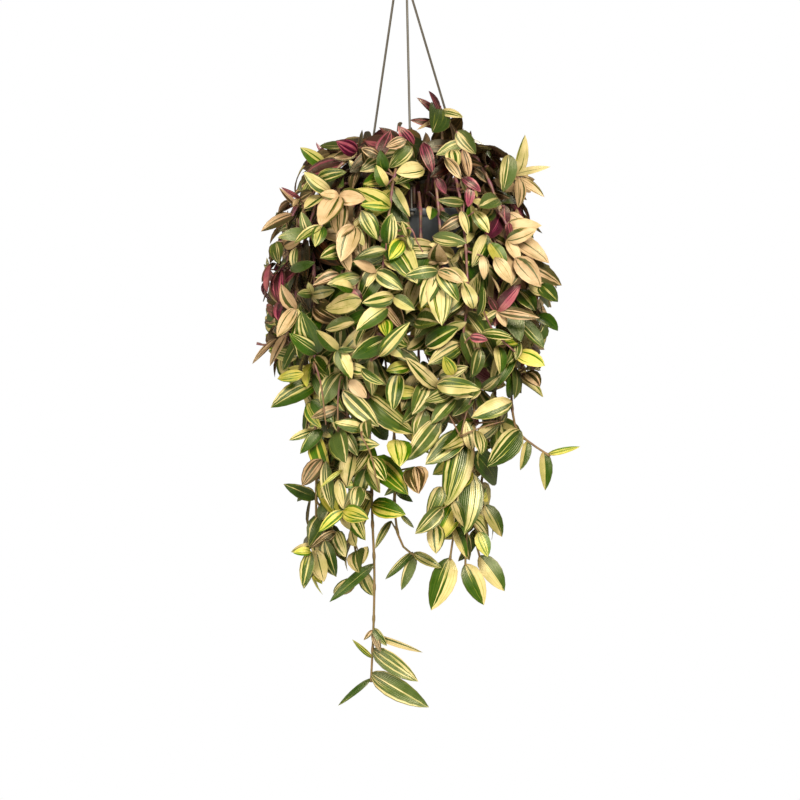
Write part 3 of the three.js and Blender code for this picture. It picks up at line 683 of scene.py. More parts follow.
# ---------------------------------------------------------------- leaves
# Thin, fleshy, pointed leaves with parallel veins, folded along the midrib, each clasping its stem. They are
# striped dark green, silver and cream, some half and half, flushed peach, pink or dusky purple where the sun
# reaches them, and magenta beneath.
LEAF_TRIES = 16
ROOT_SUNK = 0.0025
WIDTH_OF_LENGTH = 0.46
PARTING = ((-0.004, -0.100, -0.034), (0.050, -0.014, 0.044))
LEAF_COLUMNS = 4
# Along the blade, and how wide it is there as a share of its widest
LEAF_OUTLINE = [
    (0, 0.15), (0.06, 0.48), (0.17, 0.83), (0.35, 1.0), (0.54, 0.95), (0.73, 0.71), (0.88, 0.39), (1, 0),
]
LEAF_THICKNESS = 0.0006
PLACED_BEND = 0.5
PLACED_LIVELINESS = 0.55

# Leaves with places of their own, as in the CAD: the stem, the height where the leaf leaves it, the leaf's
# tip from the middle of the rim, its width as a share of its length, and its colouring.
PLACED_LEAVES = [
    ("runner", -0.324, (-0.012, -0.128, -0.330), 0.5, "lime"),
    ("runner", -0.392, (-0.097, -0.104, -0.434), 0.2, "green"),
    ("runner", -0.474, (0.007, -0.106, -0.491), 0.13, "cream"),
    ("runner", -0.490, (0.002, -0.114, -0.522), 0.34, "silver"),
    ("runner", -0.500, (-0.072, -0.098, -0.478), 0.2, "lime"),
    ("runner", -0.518, (0.014, -0.116, -0.551), 0.34, "silver"),
    ("runner", -0.524, (-0.088, -0.104, -0.553), 0.16, "green"),
    ("small_tail", -0.380, (-0.035, -0.092, -0.411), 0.22, "green"),
    ("small_tail", -0.381, (0.028, -0.102, -0.396), 0.34, "striped"),
    ("small_tail", -0.383, (-0.017, -0.094, -0.423), 0.3, "silver"),
    ("right_sprig", -0.244, (0.077, -0.104, -0.282), 0.5, "bold"),
    ("right_sprig", -0.256, (0.114, -0.096, -0.287), 0.38, "half"),
    ("right_sprig", -0.268, (0.142, -0.094, -0.310), 0.4, "half"),
    ("right_sprig", -0.271, (0.181, -0.086, -0.262), 0.2, "lime"),
    ("top_sprig", 0.110, (0.017, -0.044, 0.082), 0.72, "green"),
    ("top_sprig", 0.106, (0.052, -0.018, 0.099), 0.45, "silver"),
    ("top_sprig", 0.104, (0.013, -0.030, 0.128), 0.3, "wine"),
    ("top_sprig", 0.098, (0, -0.012, 0.121), 0.3, "wine"),
    ("top_sprig", 0.088, (-0.008, -0.020, 0.096), 0.3, "wine"),
    ("middle_tail", -0.084, (0.018, -0.142, -0.118), 0.44, "lime"),
    ("middle_tail", -0.074, (-0.012, -0.140, -0.110), 0.42, "cream"),
    ("right_tail_inner", -0.142, (0.007, -0.140, -0.152), 0.5, "bold"),
    ("right_tail_inner", -0.250, (0.031, -0.130, -0.322), 0.42, "bold"),
    ("right_tail_middle", -0.040, (0.053, -0.130, -0.060), 0.54, "half"),
    ("right_tail_middle", -0.290, (0.052, -0.122, -0.354), 0.44, "bold"),
    ("left_tail_outer", -0.112, (-0.127, -0.122, -0.160), 0.6, "green"),
    ("left_tail_outer", -0.192, (-0.160, -0.104, -0.216), 0.45, "bright"),
    ("left_tail_outer", -0.245, (-0.141, -0.092, -0.254), 0.34, "striped"),
    ("left_tail_outer", -0.322, (-0.148, -0.086, -0.304), 0.38, "green"),
    ("left_tail_outer", -0.370, (-0.089, -0.092, -0.408), 0.4, "striped"),
    ("left_tail_outer", -0.376, (-0.141, -0.074, -0.384), 0.36, "striped"),
    ("left_tail_outer", -0.384, (-0.126, -0.088, -0.423), 0.46, "striped"),
    ("left_tail_outer", -0.392, (-0.105, -0.098, -0.415), 0.46, "lime"),
    ("right_tail_inner", -0.387, (0.016, -0.106, -0.443), 0.48, "other_half"),
    ("right_tail_middle", -0.394, (0.075, -0.098, -0.439), 0.5, "other_half"),
    ("right_tail_outer", -0.038, (0.097, -0.112, -0.079), 0.5, "lime"),
    ("right_tail_outer", -0.390, (0.099, -0.078, -0.428), 0.5, "half"),
    ("right_shoot", -0.030, (0.142, -0.118, -0.057), 0.42, "peach"),
    ("right_shoot", -0.038, (0.100, -0.138, -0.080), 0.44, "peach"),
    ("right_shoot", -0.046, (0.131, -0.130, -0.082), 0.44, "peach"),
    ("right_shoot", -0.056, (0.157, -0.104, -0.082), 0.42, "dusk"),
    ("right_spray", 0.033, (0.119, -0.052, 0.080), 0.34, "cream"),
    ("right_spray", 0.036, (0.147, -0.058, 0.045), 0.2, "cream"),
    ("right_spray", 0.034, (0.140, -0.064, 0.012), 0.34, "peach"),
    ("left_spray", 0.046, (-0.129, -0.042, 0.066), 0.45, "half"),
    ("left_shoot", -0.008, (-0.172, -0.060, -0.026), 0.38, "dusk"),
    ("left_shoot", 0, (-0.152, -0.052, 0.022), 0.22, "dusk"),
]

# More of the leaves that stand out, which the CAD leaves out
MORE_LEAVES = [
    ("top_sprig", 0.100, (0.000, -0.030, 0.085), 0.14, "peach"),
    ("left_tail_middle", -0.160, (-0.113, -0.092, -0.133), 0.50, "half"),
    ("left_tail_middle", -0.356, (-0.079, -0.080, -0.394), 0.44, "silver"),
    ("right_shoot", -0.018, (0.134, -0.112, -0.017), 0.42, "peach"),
    ("left_sprig", -0.145, (-0.183, -0.062, -0.173), 0.22, "dusk"),
    ("left_sprig", -0.140, (-0.163, -0.066, -0.175), 0.30, "dusk"),
    ("runner", -0.466, (-0.033, -0.104, -0.484), 0.40, "green"),
    ("runner", -0.470, (-0.040, -0.106, -0.490), 0.40, "dusk"),
    ("runner", -0.468, (-0.059, -0.102, -0.478), 0.36, "dusk"),
]

# What each colouring is: how much of the leaf is cream, how far that keeps to one half, and how much peach or
# pink flush, dusky purple, and lime (silver where it is below 0) the leaf has
COLOURINGS = {
    "green": (0.08, 0.2, 0.0, 0.0, 0.1),
    "bright": (0.22, 0.1, 0.0, 0.0, 0.3),
    "silver": (0.30, 0.2, 0.0, 0.15, -1.0),
    "striped": (0.44, 0.3, 0.1, 0.0, 0.2),
    "bold": (0.36, 0.1, 0.0, 0.0, 0.1),
    "half": (0.48, 2.2, 0.1, 0.0, 0.3),
    "other_half": (0.48, -2.2, 0.1, 0.0, 0.3),
    "cream": (0.68, 0.5, 0.15, 0.0, 0.1),
    "peach": (0.74, 0.4, 0.80, 0.05, 0.0),
    "lime": (0.55, 0.5, 0.0, 0.0, 0.9),
    "dusk": (0.38, 0.3, 0.30, 0.85, -0.2),
    "wine": (0.35, 0.2, 1.0, 1.0, 0.0),
}


def unit(vector):
    return vector / np.linalg.norm(vector)


UP = np.array([0.0, 0.0, 1.0])
FRONT = np.array([0.0, -1.0, 0.0])
RIM_MIDDLE = np.array(POT_PLACE)


def light_at(point):
    out = (point - RIM_MIDDLE) * (1, 1, 0)
    return unit(unit(out) * 0.85 + UP * 0.5)


def pose_to(root, tip, width, bend, roll=0.0):
    """A bent leaf from its root to its tip, with its face to the light and the front, but for its roll."""
    chord = tip - root
    reach = np.linalg.norm(chord)
    chord = chord / reach
    front = light_at(root) + FRONT
    face = unit(front - chord * (front @ chord))
    if roll:
        face = face * math.cos(roll) + np.cross(chord, face) * math.sin(roll)
    along = chord * math.cos(bend / 2) + face * math.sin(bend / 2)
    normal = face * math.cos(bend / 2) - chord * math.sin(bend / 2)
    length = reach * (bend / 2) / math.sin(bend / 2)
    return {"root": root, "along": along, "normal": normal, "length": length, "bend": bend, "width": width}


def heading(vary, root, grow, hand, rolls, spreads, droops, tilts):
    """Which way a leaf at root points from a stem that grows along grow, and which way its face looks.

    vary draws its roll, spread, droop and tilt from these ranges; hand is 1 or -1 for its side of the stem.
    """
    light = light_at(root)
    side = unit(np.cross(grow, light)) * hand
    roll = math.radians(vary(*rolls, 1))
    spread = math.radians(vary(*spreads, 2))
    along = side * math.cos(roll) * math.sin(spread) + light * math.sin(roll) * math.sin(spread)
    along = unit(along + grow * math.cos(spread) - UP * vary(*droops, 3))
    tilt = math.radians(vary(*tilts, 4))
    face = unit(light - along * (light @ along))
    return along, face * math.cos(tilt) + np.cross(along, face) * math.sin(tilt)


def placed_pose(stem, root_height, tip, width):
    height = root_height + POT_PLACE.z
    heights = stem.nodes[:, 2]
    after = max(n for n in range(1, len(heights)) if (heights[n] - height) * (heights[n - 1] - height) <= 0)
    share = (height - heights[after - 1]) / (heights[after] - heights[after - 1])
    root = stem.nodes[after - 1] * (1 - share) + stem.nodes[after] * share
    return pose_to(root, np.array(tip) + RIM_MIDDLE, width, PLACED_BEND)


def leaf_pose(stem, i, attempt):
    def vary(low, high, what):
        return draw(low, high, stem.number, i, attempt, what)

    grow = unit(stem.nodes[min(i + 1, stem.steps)] - stem.nodes[i - 1])
    root = stem.nodes[i] + unit(stem.nodes[i - 1] - stem.nodes[i]) * ROOT_SUNK
    spreads = (5, 30) if i == stem.steps else (40, 80)
    along, normal = heading(vary, root, grow, 1 if i % 2 else -1, (-20, 45), spreads, (0.1, 0.4), (-25, 25))
    youth = min(1, 0.66 + 0.12 * (stem.steps - i))
    length = vary(0.050, 0.070, 5) * youth * (1 - 0.02 * attempt)
    return {"root": root, "along": along, "normal": normal, "length": length, "bend": vary(0.25, 0.85, 6),
            "width": WIDTH_OF_LENGTH}


def blade_points(pose, along_share, aside, above):
    """Points of a bent blade: along it from root to tip, aside off its midrib, above off its middle."""
    radius = pose["length"] / pose["bend"]
    angle = np.atleast_1d(pose["bend"] * along_share)[:, None]
    upright = pose["along"] * np.sin(angle) + pose["normal"] * np.cos(angle)
    spine = pose["root"] + pose["along"] * radius * np.sin(angle)
    spine = spine - pose["normal"] * radius * (1 - np.cos(angle))
    across = np.cross(pose["along"], pose["normal"])
    return spine + across * np.atleast_1d(aside)[:, None] + upright * np.atleast_1d(above)[:, None]


# The pattern that every leaf is laid from: an upper and a lower sheet that meet at the edge. Its x runs
# across, from -1 to 1, its y from the root to the tip, and its z is 0 above and -1 below.
pattern_bm = bmesh.new()
lie = pattern_bm.loops.layers.uv.new("blade")
under = pattern_bm.faces.layers.float.new("under")
rows = len(LEAF_OUTLINE) - 1
sheets = bmesh.ops.create_grid(pattern_bm, x_segments=LEAF_COLUMNS, y_segments=rows, size=1)["verts"]
for vert in sheets:
    row = round((vert.co.y + 1) / 2 * rows)
    vert.co.y = LEAF_OUTLINE[row][0]
for face in pattern_bm.faces:
    for loop in face.loops:
        loop[lie].uv = ((loop.vert.co.x + 1) / 2, loop.vert.co.y)
lower = bmesh.ops.duplicate(pattern_bm, geom=list(pattern_bm.faces))["geom"]
lower_faces = [part for part in lower if isinstance(part, bmesh.types.BMFace)]
bmesh.ops.reverse_faces(pattern_bm, faces=lower_faces)
for face in lower_faces:
    face[under] = 1.0
for vert in pattern_bm.verts:
    inside = abs(vert.co.x) < 0.99 and 0 < vert.co.y < 1
    if inside and vert.link_faces[0][under] == 1.0:
        vert.co.z = -1
    if vert.co.y == 1:
        vert.co.x = 0
bmesh.ops.remove_doubles(pattern_bm, verts=pattern_bm.verts, dist=1e-5)
for face in pattern_bm.faces:
    face.smooth = True
for edge in pattern_bm.edges:
    edge.smooth = len({face[under] for face in edge.link_faces}) == 1
pattern = bpy.data.meshes.new("leaf_pattern")
pattern_bm.to_mesh(pattern)
pattern_bm.free()
for layer in ("make", "tone"):
    pattern.attributes.new(layer, "FLOAT_VECTOR", "FACE")
# Each leaf's painted shade deep inside the plant
pattern.attributes.new("inner_shade", "FLOAT", "FACE")


def shape_of(mesh):
    """The places of a mesh's points, and the points of each face."""
    places = np.zeros(len(mesh.vertices) * 3)
    mesh.vertices.foreach_get("co", places)
    return places.reshape(-1, 3), [tuple(face.vertices) for face in mesh.polygons]


LAID, LEAF_FACES = shape_of(pattern)
LAID_WIDTH = np.interp(LAID[:, 1], *zip(*LEAF_OUTLINE))


def lay_leaf(pose, form):
    """The places of the pattern's points on a leaf that folds, cups, waves and twists as form says."""
    fold, cup, wave, twist, phase = form
    s, t, z = LAID.T
    half = LAID_WIDTH * pose["length"] * pose["width"] / 2
    open_up = fold * (1 - 0.45 * t)
    aside = s * half * np.cos(open_up)
    above = np.abs(s) ** 1.5 * half * np.sin(open_up) - cup * half * s * s
    above += wave * half * s * s * np.sin(7 * t + phase + np.sign(s) * 1.3)
    above += z * LEAF_THICKNESS * np.sin(np.pi * np.clip(t, 0.04, 0.96)) ** 0.5
    turn = twist * t * t
    across = aside * np.cos(turn) - above * np.sin(turn)
    above = aside * np.sin(turn) + above * np.cos(turn)
    return blade_points(pose, t, across, above)


class Room:
    """What is taken up already, to keep each new leaf out of it."""

    def __init__(self, most=6000):
        self.middles = np.zeros((most, 3))
        self.reaches = np.zeros(most)
        self.owners = np.full(most, -1)
        self.trees = []

    def add(self, places, faces, owner=-1):
        n = len(self.trees)
        middle = (places.max(axis=0) + places.min(axis=0)) / 2
        self.middles[n] = middle
        self.reaches[n] = np.linalg.norm(places - middle, axis=1).max()
        self.owners[n] = owner
        self.trees.append(BVHTree.FromPolygons(places.tolist(), faces))

    def meets(self, places, faces, owner=-2):
        middle = (places.max(axis=0) + places.min(axis=0)) / 2
        reach = np.linalg.norm(places - middle, axis=1).max()
        count = len(self.trees)
        gap = np.linalg.norm(self.middles[:count] - middle, axis=1) - self.reaches[:count] - reach
        near = np.nonzero((gap < 0) & (self.owners[:count] != owner))[0]
        if not len(near):
            return 0
        tree = BVHTree.FromPolygons(places.tolist(), faces)
        return sum(1 for n in near if tree.overlap(self.trees[n]))


room = Room()
for name in ("pot", "soil", "hanger_strand_front", "hanger_strand_right", "hanger_strand_left"):
    room.add(*shape_of(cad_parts[name].data))
SECTION = [np.array([math.cos(a), math.sin(a)]) for a in (0, 2.1, 4.2)]
for n, stem in enumerate(stems):
    for a, b in zip(stem.nodes, stem.nodes[1:]):
        ahead = unit(b - a)
        side = unit(np.cross(ahead, [0.3, 0.9, 0.1]))
        other = np.cross(ahead, side)
        rim = [side * c * STEM_RADIUS + other * d * STEM_RADIUS for c, d in SECTION]
        prism = np.array([end + corner for end in (a, b) for corner in rim])
        room.add(prism, [(0, 1, 4, 3), (1, 2, 5, 4), (2, 0, 3, 5)], owner=n)

# The leaves that the CAD has, found again by their tips
leaves = [[] for _ in stems]


def is_bare(stem, place):
    x, y, z = place - RIM_MIDDLE
    (x0, y0, z0), (x1, y1, z1) = PARTING
    return z < stem.leafy_to or (x0 <= x <= x1 and y0 <= y <= y1 and z0 <= z <= z1)


def leaf_form(scale, *keys):
    """How a leaf folds, cups, waves, twists and where its wave starts; a small scale makes it lie flat."""
    fold = draw(0.12, 0.50, *keys, 81) * scale
    cup = draw(-0.10, 0.16, *keys, 82) * scale
    wave = draw(0.0, 0.14, *keys, 83) * scale
    twist = draw(-0.5, 0.5, *keys, 84) * scale
    return fold, cup, wave, twist, draw(0, 6.3, *keys, 85)


def put_leaf(n, pose, colouring, keys, liveliness=1.0):
    """A leaf of the CAD's, as lively as its neighbours let it be."""
    for scale in (liveliness, 0.6 * liveliness, 0.3 * liveliness, 0.05):
        places = lay_leaf(pose, leaf_form(scale, *keys))
        if not room.meets(places, LEAF_FACES, owner=n):
            break
    leaves[n].append((places, pose, colouring, keys))
    room.add(places, LEAF_FACES)


# Seen from the front, the parting shows the soil, the pot's wall and bare stems here, in the photograph's
# pixels. A leaf that would hide them is this much shorter.
VIEW_OF_POT = (411, 186, 458, 237)
SHORT_LEAF = 0.45


def hides_pot(places):
    (x, y), (x0, y0, x1, y1) = photo_place(places).T, VIEW_OF_POT
    return places[:, 1].mean() < 0.02 and ((x > x0) & (x < x1) & (y > y0) & (y < y1)).any()


# The leaves that stand out, where they are seen: both ends, half the width to keep clear, and the depth
seen_whole = []
SEEN_HALF = 0.45


def stands_out(pose, places, width):
    ends = photo_place(blade_points(pose, np.array([0, 1]), [0, 0], [0, 0]))
    seen_whole.append((*ends, width * math.dist(*ends) * SEEN_HALF, places[:, 1].mean()))


for number, (name, height, tip, width, colouring) in enumerate(PLACED_LEAVES + MORE_LEAVES):
    n = next(k for k, stem in enumerate(stems) if stem.name == name)
    pose = placed_pose(stems[n], height, tip, width)
    put_leaf(n, pose, colouring, (number, 500), PLACED_LIVELINESS)
    stands_out(pose, leaves[n][-1][0], width)
for n, stem in enumerate(stems):
    for i in range(2, stem.steps + 1):
        if is_bare(stem, stem.nodes[i]):
            continue
        for attempt in range(LEAF_TRIES):
            pose = leaf_pose(stem, i, attempt)
            if cad_points[n].find(blade_points(pose, 1, 0, 0)[0])[2] < SAME_PLACE:
                if hides_pot(lay_leaf(pose, leaf_form(0, 0))):
                    pose["length"] *= SHORT_LEAF
                put_leaf(n, pose, None, (stem.number, i))
                break
print("leaves found in the frame:", sum(len(some) for some in leaves))

# Rosettes and single leaves at the front, by where they are in the photograph: the joint they leave, and of
# each leaf its tip, its width as a share of its length as it is seen, and its colouring.
FRONT_LEAVES = [
    (457, 131, [(476, 154, 0.5, "silver")]), (462, 143, [(436, 155, 0.4, "silver")]),
    (452, 150, [(456, 170, 0.7, "striped")]), (463, 150, [(469, 178, 0.35, "dusk")]),
    (385, 172, [(380, 150, 0.5, "green")]), (412, 147, [(389, 168, 0.45, "silver")]),
    (424, 169, [(396, 173, 0.6, "cream"), (395, 184, 0.3, "bold")]),
    (357, 152, [(336, 141, 0.6, "wine"), (333, 158, 0.45, "dusk")]),
    (378, 156, [(391, 130, 0.42, "wine"), (361, 148, 0.5, "dusk")]), (413, 146, [(398, 126, 0.45, "wine")]),
    (406, 140, [(386, 147, 0.5, "dusk")]), (357, 172, [(349, 160, 0.5, "cream"), (352, 190, 0.6, "dusk")]),
    (300, 198, [(281, 187, 0.2, "wine"), (293, 207, 0.5, "peach"), (312, 192, 0.8, "dusk")]),
    (386, 186, [(376, 165, 0.5, "half")]),
    (392, 186, [(410, 217, 0.3, "other_half"), (393, 201, 0.4, "green")]),
    (330, 192, [(304, 172, 0.42, "cream")]), (322, 196, [(304, 209, 0.6, "striped")]),
    (390, 208, [(355, 189, 0.5, "lime"), (360, 205, 0.3, "lime")]),
    (339, 196, [
        (320, 194, 0.5, "peach"), (320, 227, 0.6, "peach"), (366, 199, 0.6, "peach"),
        (338, 236, 0.45, "peach"),
    ]),
    (354, 226, [
        (341, 262, 0.55, "peach"), (336, 239, 0.45, "peach"), (363, 217, 0.5, "cream"),
        (364, 246, 0.45, "cream"),
    ]),
    (362, 211, [(378, 240, 0.5, "bold")]), (388, 244, [(392, 213, 0.5, "bold")]),
    (386, 250, [(358, 257, 0.4, "silver")]), (402, 240, [(389, 260, 0.6, "lime")]),
    (408, 236, [(401, 221, 0.6, "striped"), (412, 250, 0.5, "striped")]),
    (376, 272, [(353, 261, 0.4, "peach"), (403, 290, 0.5, "bold"), (366, 287, 0.4, "cream")]),
    (360, 277, [(327, 284, 0.4, "silver")]),
    (322, 226, [(294, 244, 0.3, "striped"), (315, 247, 0.6, "striped")]),
    (276, 242, [(279, 264, 0.6, "silver")]), (296, 248, [(295, 270, 0.5, "silver")]),
    (290, 270, [(315, 262, 0.35, "green")]), (423, 143, [(433, 174, 0.35, "wine")]),
    (446, 158, [(461, 179, 0.4, "dusk")]), (437, 178, [(446, 194, 0.45, "wine")]),
    (462, 178, [(481, 192, 0.4, "wine"), (470, 195, 0.4, "dusk")]), (475, 168, [(491, 184, 0.4, "dusk")]),
    (432, 207, [(430, 220, 0.8, "half")]), (470, 187, [(468, 207, 0.5, "wine")]),
    (464, 203, [(437, 200, 0.35, "silver")]), (474, 200, [(487, 208, 0.6, "cream")]),
    (462, 218, [(439, 231, 0.4, "dusk")]), (433, 237, [(467, 243, 0.4, "silver")]),
    (461, 211, [(468, 235, 0.35, "cream")]), (474, 212, [(489, 233, 0.5, "striped")]),
    (509, 155, [(503, 192, 0.45, "silver")]), (518, 178, [(518, 208, 0.45, "peach")]),
    (505, 206, [(507, 227, 0.4, "wine")]), (508, 222, [(510, 241, 0.45, "wine")]),
    (507, 240, [(537, 229, 0.4, "peach"), (520, 262, 0.5, "peach")]), (487, 235, [(472, 267, 0.5, "bold")]),
    (490, 243, [(506, 270, 0.5, "lime")]), (483, 256, [(484, 280, 0.4, "peach")]),
    (495, 258, [(512, 284, 0.45, "peach")]), (516, 258, [(541, 287, 0.5, "peach")]),
    (438, 262, [(438, 243, 0.9, "peach"), (428, 263, 0.5, "peach"), (449, 262, 0.5, "peach")]),
    (438, 271, [
        (405, 276, 0.35, "striped"), (421, 308, 0.4, "cream"), (442, 326, 0.42, "cream"),
        (459, 302, 0.4, "striped"), (463, 283, 0.45, "peach"),
    ]),
    (394, 297, [(362, 303, 0.45, "striped"), (415, 310, 0.5, "striped")]),
    (387, 308, [(356, 331, 0.45, "half")]), (384, 320, [(387, 337, 0.8, "lime")]),
    (353, 289, [(332, 284, 0.6, "half"), (362, 302, 0.5, "wine")]),
    (312, 294, [
        (297, 294, 0.6, "silver"), (335, 290, 0.5, "striped"), (319, 304, 0.5, "silver"),
        (308, 282, 0.5, "cream"),
    ]),
    (296, 309, [(281, 284, 0.5, "peach"), (277, 337, 0.4, "peach"), (303, 321, 0.4, "cream")]),
    (317, 353, [(301, 311, 0.55, "green"), (289, 333, 0.42, "bright")]),
    (338, 350, [
        (316, 330, 0.42, "half"), (356, 350, 0.35, "green"), (352, 379, 0.45, "other_half"),
        (338, 369, 0.4, "green"),
    ]),
    (387, 339, [(351, 358, 0.42, "green")]), (379, 356, [(410, 322, 0.3, "striped")]),
    (386, 345, [(403, 357, 0.5, "half")]), (409, 367, [(386, 371, 0.55, "lime")]),
    (398, 374, [(393, 411, 0.45, "bold")]), (343, 391, [(379, 427, 0.33, "bold")]),
    (341, 373, [(321, 406, 0.5, "silver")]), (350, 380, [(367, 398, 0.5, "peach")]),
    (337, 408, [(311, 418, 0.35, "dusk")]), (366, 421, [(368, 439, 0.8, "silver")]),
    (416, 319, [(441, 323, 0.8, "silver")]), (445, 330, [(467, 322, 0.4, "cream")]),
    (426, 346, [(459, 327, 0.5, "bold")]), (428, 383, [(412, 415, 0.55, "silver")]),
    (438, 388, [(405, 357, 0.3, "cream")]),
    (437, 385, [(481, 389, 0.38, "striped"), (474, 397, 0.3, "half")]),
    (482, 389, [(501, 375, 0.45, "silver")]), (498, 346, [(500, 374, 0.55, "half")]),
    (517, 353, [(545, 366, 0.55, "lime")]), (519, 320, [(544, 348, 0.42, "green")]),
    (536, 316, [(558, 331, 0.6, "green")]), (540, 285, [(558, 302, 0.6, "green")]),
    (519, 290, [(536, 311, 0.6, "green")]),
    (497, 311, [
        (521, 284, 0.35, "wine"), (540, 318, 0.25, "dusk"), (482, 320, 0.4, "cream"),
        (506, 327, 0.5, "peach"), (488, 296, 0.4, "wine"),
    ]),
    (470, 337, [(488, 340, 0.5, "wine")]), (480, 349, [(472, 378, 0.45, "silver")]),
    (512, 402, [(471, 418, 0.4, "striped")]), (525, 373, [(540, 387, 0.8, "dusk")]),
    (425, 410, [(415, 439, 0.5, "silver")]), (440, 420, [(406, 461, 0.35, "silver")]),
    (398, 440, [(400, 467, 0.8, "lime")]), (415, 467, [(384, 496, 0.25, "green"), (419, 494, 0.8, "dusk")]),
    (441, 487, [(427, 517, 0.45, "silver")]), (443, 508, [(415, 534, 0.4, "silver")]),
    (436, 525, [(436, 554, 0.55, "striped")]), (453, 500, [(464, 527, 0.35, "cream")]),
    (455, 527, [(467, 558, 0.3, "half")]), (479, 532, [(488, 557, 0.5, "lime")]),
    (485, 505, [(502, 537, 0.4, "striped")]), (396, 491, [(413, 502, 0.35, "green")]),
    (391, 521, [(375, 549, 0.22, "silver")]), (401, 515, [(414, 528, 0.25, "green")]),
    (322, 430, [(300, 454, 0.35, "green")]), (353, 453, [(347, 487, 0.5, "cream")]),
    (345, 432, [(358, 456, 0.4, "silver")]), (337, 431, [(346, 463, 0.65, "silver")]),
    (322, 460, [(302, 486, 0.5, "dusk")]), (326, 462, [(333, 510, 0.3, "silver")]),
    (342, 470, [(320, 488, 0.15, "lime")]), (338, 480, [(344, 510, 0.35, "cream")]),
    (359, 487, [(344, 508, 0.4, "silver"), (355, 511, 0.6, "silver"), (370, 500, 0.3, "cream")]),
    (324, 514, [(309, 547, 0.5, "green")]),
    (343, 511, [(319, 532, 0.35, "lime"), (350, 530, 0.5, "cream"), (369, 519, 0.6, "lime")]),
    (336, 532, [(311, 548, 0.3, "dusk"), (346, 557, 0.6, "silver")]),
    (325, 541, [(336, 577, 0.42, "bold")]), (316, 550, [(324, 582, 0.5, "cream")]),
    (311, 552, [(303, 587, 0.35, "striped"), (293, 553, 0.5, "lime")]),
    (358, 550, [(360, 573, 0.8, "silver")]),
]
# Bare side shoots that hang in front, by where they are in the photograph
FRONT_SHOOTS = [
    [(437, 399), (449, 415), (460, 436)], [(475, 392), (468, 408), (461, 434)],
    [(461, 436), (480, 428), (504, 421)], [(361, 434), (371, 455), (379, 492)],
    [(341, 377), (338, 400), (338, 432)], [(314, 362), (321, 385), (326, 425)],
    [(478, 298), (493, 330), (515, 352)], [(409, 228), (417, 242), (423, 252)],
    [(419, 340), (424, 350), (429, 362)],
]
# Each is slid back from the foremost place until it meets what is there
FRONT_OUTREACH = 0.012
FOREMOST = cad_bounds[0][1] - FRONT_OUTREACH
DEPTH_STEP = 0.004
SHOOTS_TO = -0.09
FRONT_WIDTH = 1.15
MOST_MEETINGS = 2
PIXEL = 0.00115  # metres, on the plant
FRONT_FIRST = 0.35
shoots = [[] for _ in stems]


def from_photo(x, y, depth):
    """The point at this depth that comes at a place of the photograph."""
    ray = np.array([x - PHOTO_SIDE / 2, 0, 0]) / PIXELS_AT_ONE - outward
    ray = ray + upward * (PHOTO_SIDE / 2 - y) / PIXELS_AT_ONE
    return viewpoint + ray * (depth - viewpoint[1]) / ray[1]


def front_pose(root, depth, x, y, width, keys):
    """A leaf from a root to where its tip is seen. One seen shorter than it is wide points at the eye."""
    seen = math.dist(from_photo(x, y, depth), root)
    length = max(seen * math.hypot(1, draw(0.0, 0.35, *keys, 41)), width * seen / 0.5)
    tip = from_photo(x, y, depth - math.sqrt(length**2 - seen**2))
    width = FRONT_WIDTH * width * seen / np.linalg.norm(tip - root)
    return pose_to(root, tip, width, draw(0.25, 0.8, *keys, 43), draw(-0.35, 0.35, *keys, 42))


joints = []
for n, stem in enumerate(stems):
    for i in range(1, stem.steps + 1):
        joints.append((n, i, *photo_place(stem.nodes[i])[0], stem.nodes[i][1]))


def nearest_joint(x, y):
    """The joint of a stem nearest to a place of the photograph, sooner one at the front than one behind."""

    def far(joint):
        return math.hypot(joint[2] - x, joint[3] - y) * PIXEL + FRONT_FIRST * joint[4]

    return min(joints, key=far)


front_leaves = 0
for number, (x, y, tips) in enumerate(FRONT_LEAVES):
    n, i, _, _, depth_of_stem = nearest_joint(x, y)
    fewest, chosen = 1000, None
    depth = FOREMOST
    while depth < depth_of_stem:
        root = from_photo(x, y, depth)
        poses = [front_pose(root, depth, *tip[:3], (number, k)) for k, tip in enumerate(tips)]
        laid = [lay_leaf(pose, leaf_form(0.7, number, k, 600)) for k, pose in enumerate(poses)]
        hits = [room.meets(places, LEAF_FACES, owner=n) for places in laid]
        outside = any(places[:, 1].min() < FOREMOST for places in laid)
        if not outside and sum(hits) <= fewest:
            fewest, chosen = sum(hits), (root, laid, poses, hits)
        elif chosen and sum(hits) > fewest:
            break
        depth += DEPTH_STEP
    if not chosen:
        continue
    root, laid, poses, hits = chosen
    for k, (places, pose, hit) in enumerate(zip(laid, poses, hits)):
        if hit > MOST_MEETINGS:
            continue
        front_leaves += 1
        leaves[n].append((places, pose, tips[k][3], (number, k, 600)))
        stands_out(pose, places, tips[k][2])
    for places in laid:
        room.add(places, LEAF_FACES)
    shoots[n].append((stems[n].nodes[i], root))
for course in FRONT_SHOOTS:
    n, i, *_ = nearest_joint(*course[0])
    depth, hung = FOREMOST, None
    while depth < SHOOTS_TO:
        points = np.array([from_photo(x, y, depth) for x, y in course])
        strip = np.concatenate([points, points + (0.0015, 0, 0)])
        if room.meets(strip, [(0, 1, 4, 3), (1, 2, 5, 4)]):
            break
        hung = points
        depth += DEPTH_STEP
    if hung is not None:
        shoots[n].append((stems[n].nodes[i], *hung))
print("leaves at the front:", front_leaves, "of", sum(len(tips) for _, _, tips in FRONT_LEAVES))

# The leaves between, which the real plant has and the CAD leaves out: one at each half step, and a tuft of
# smaller ones on a short side shoot at many joints.
EXTRA_TRIES = 12
OUTREACH = 0.006  # leaves may come this far out of the CAD's box
low_corner, high_corner = (np.array(corner) for corner in cad_bounds)
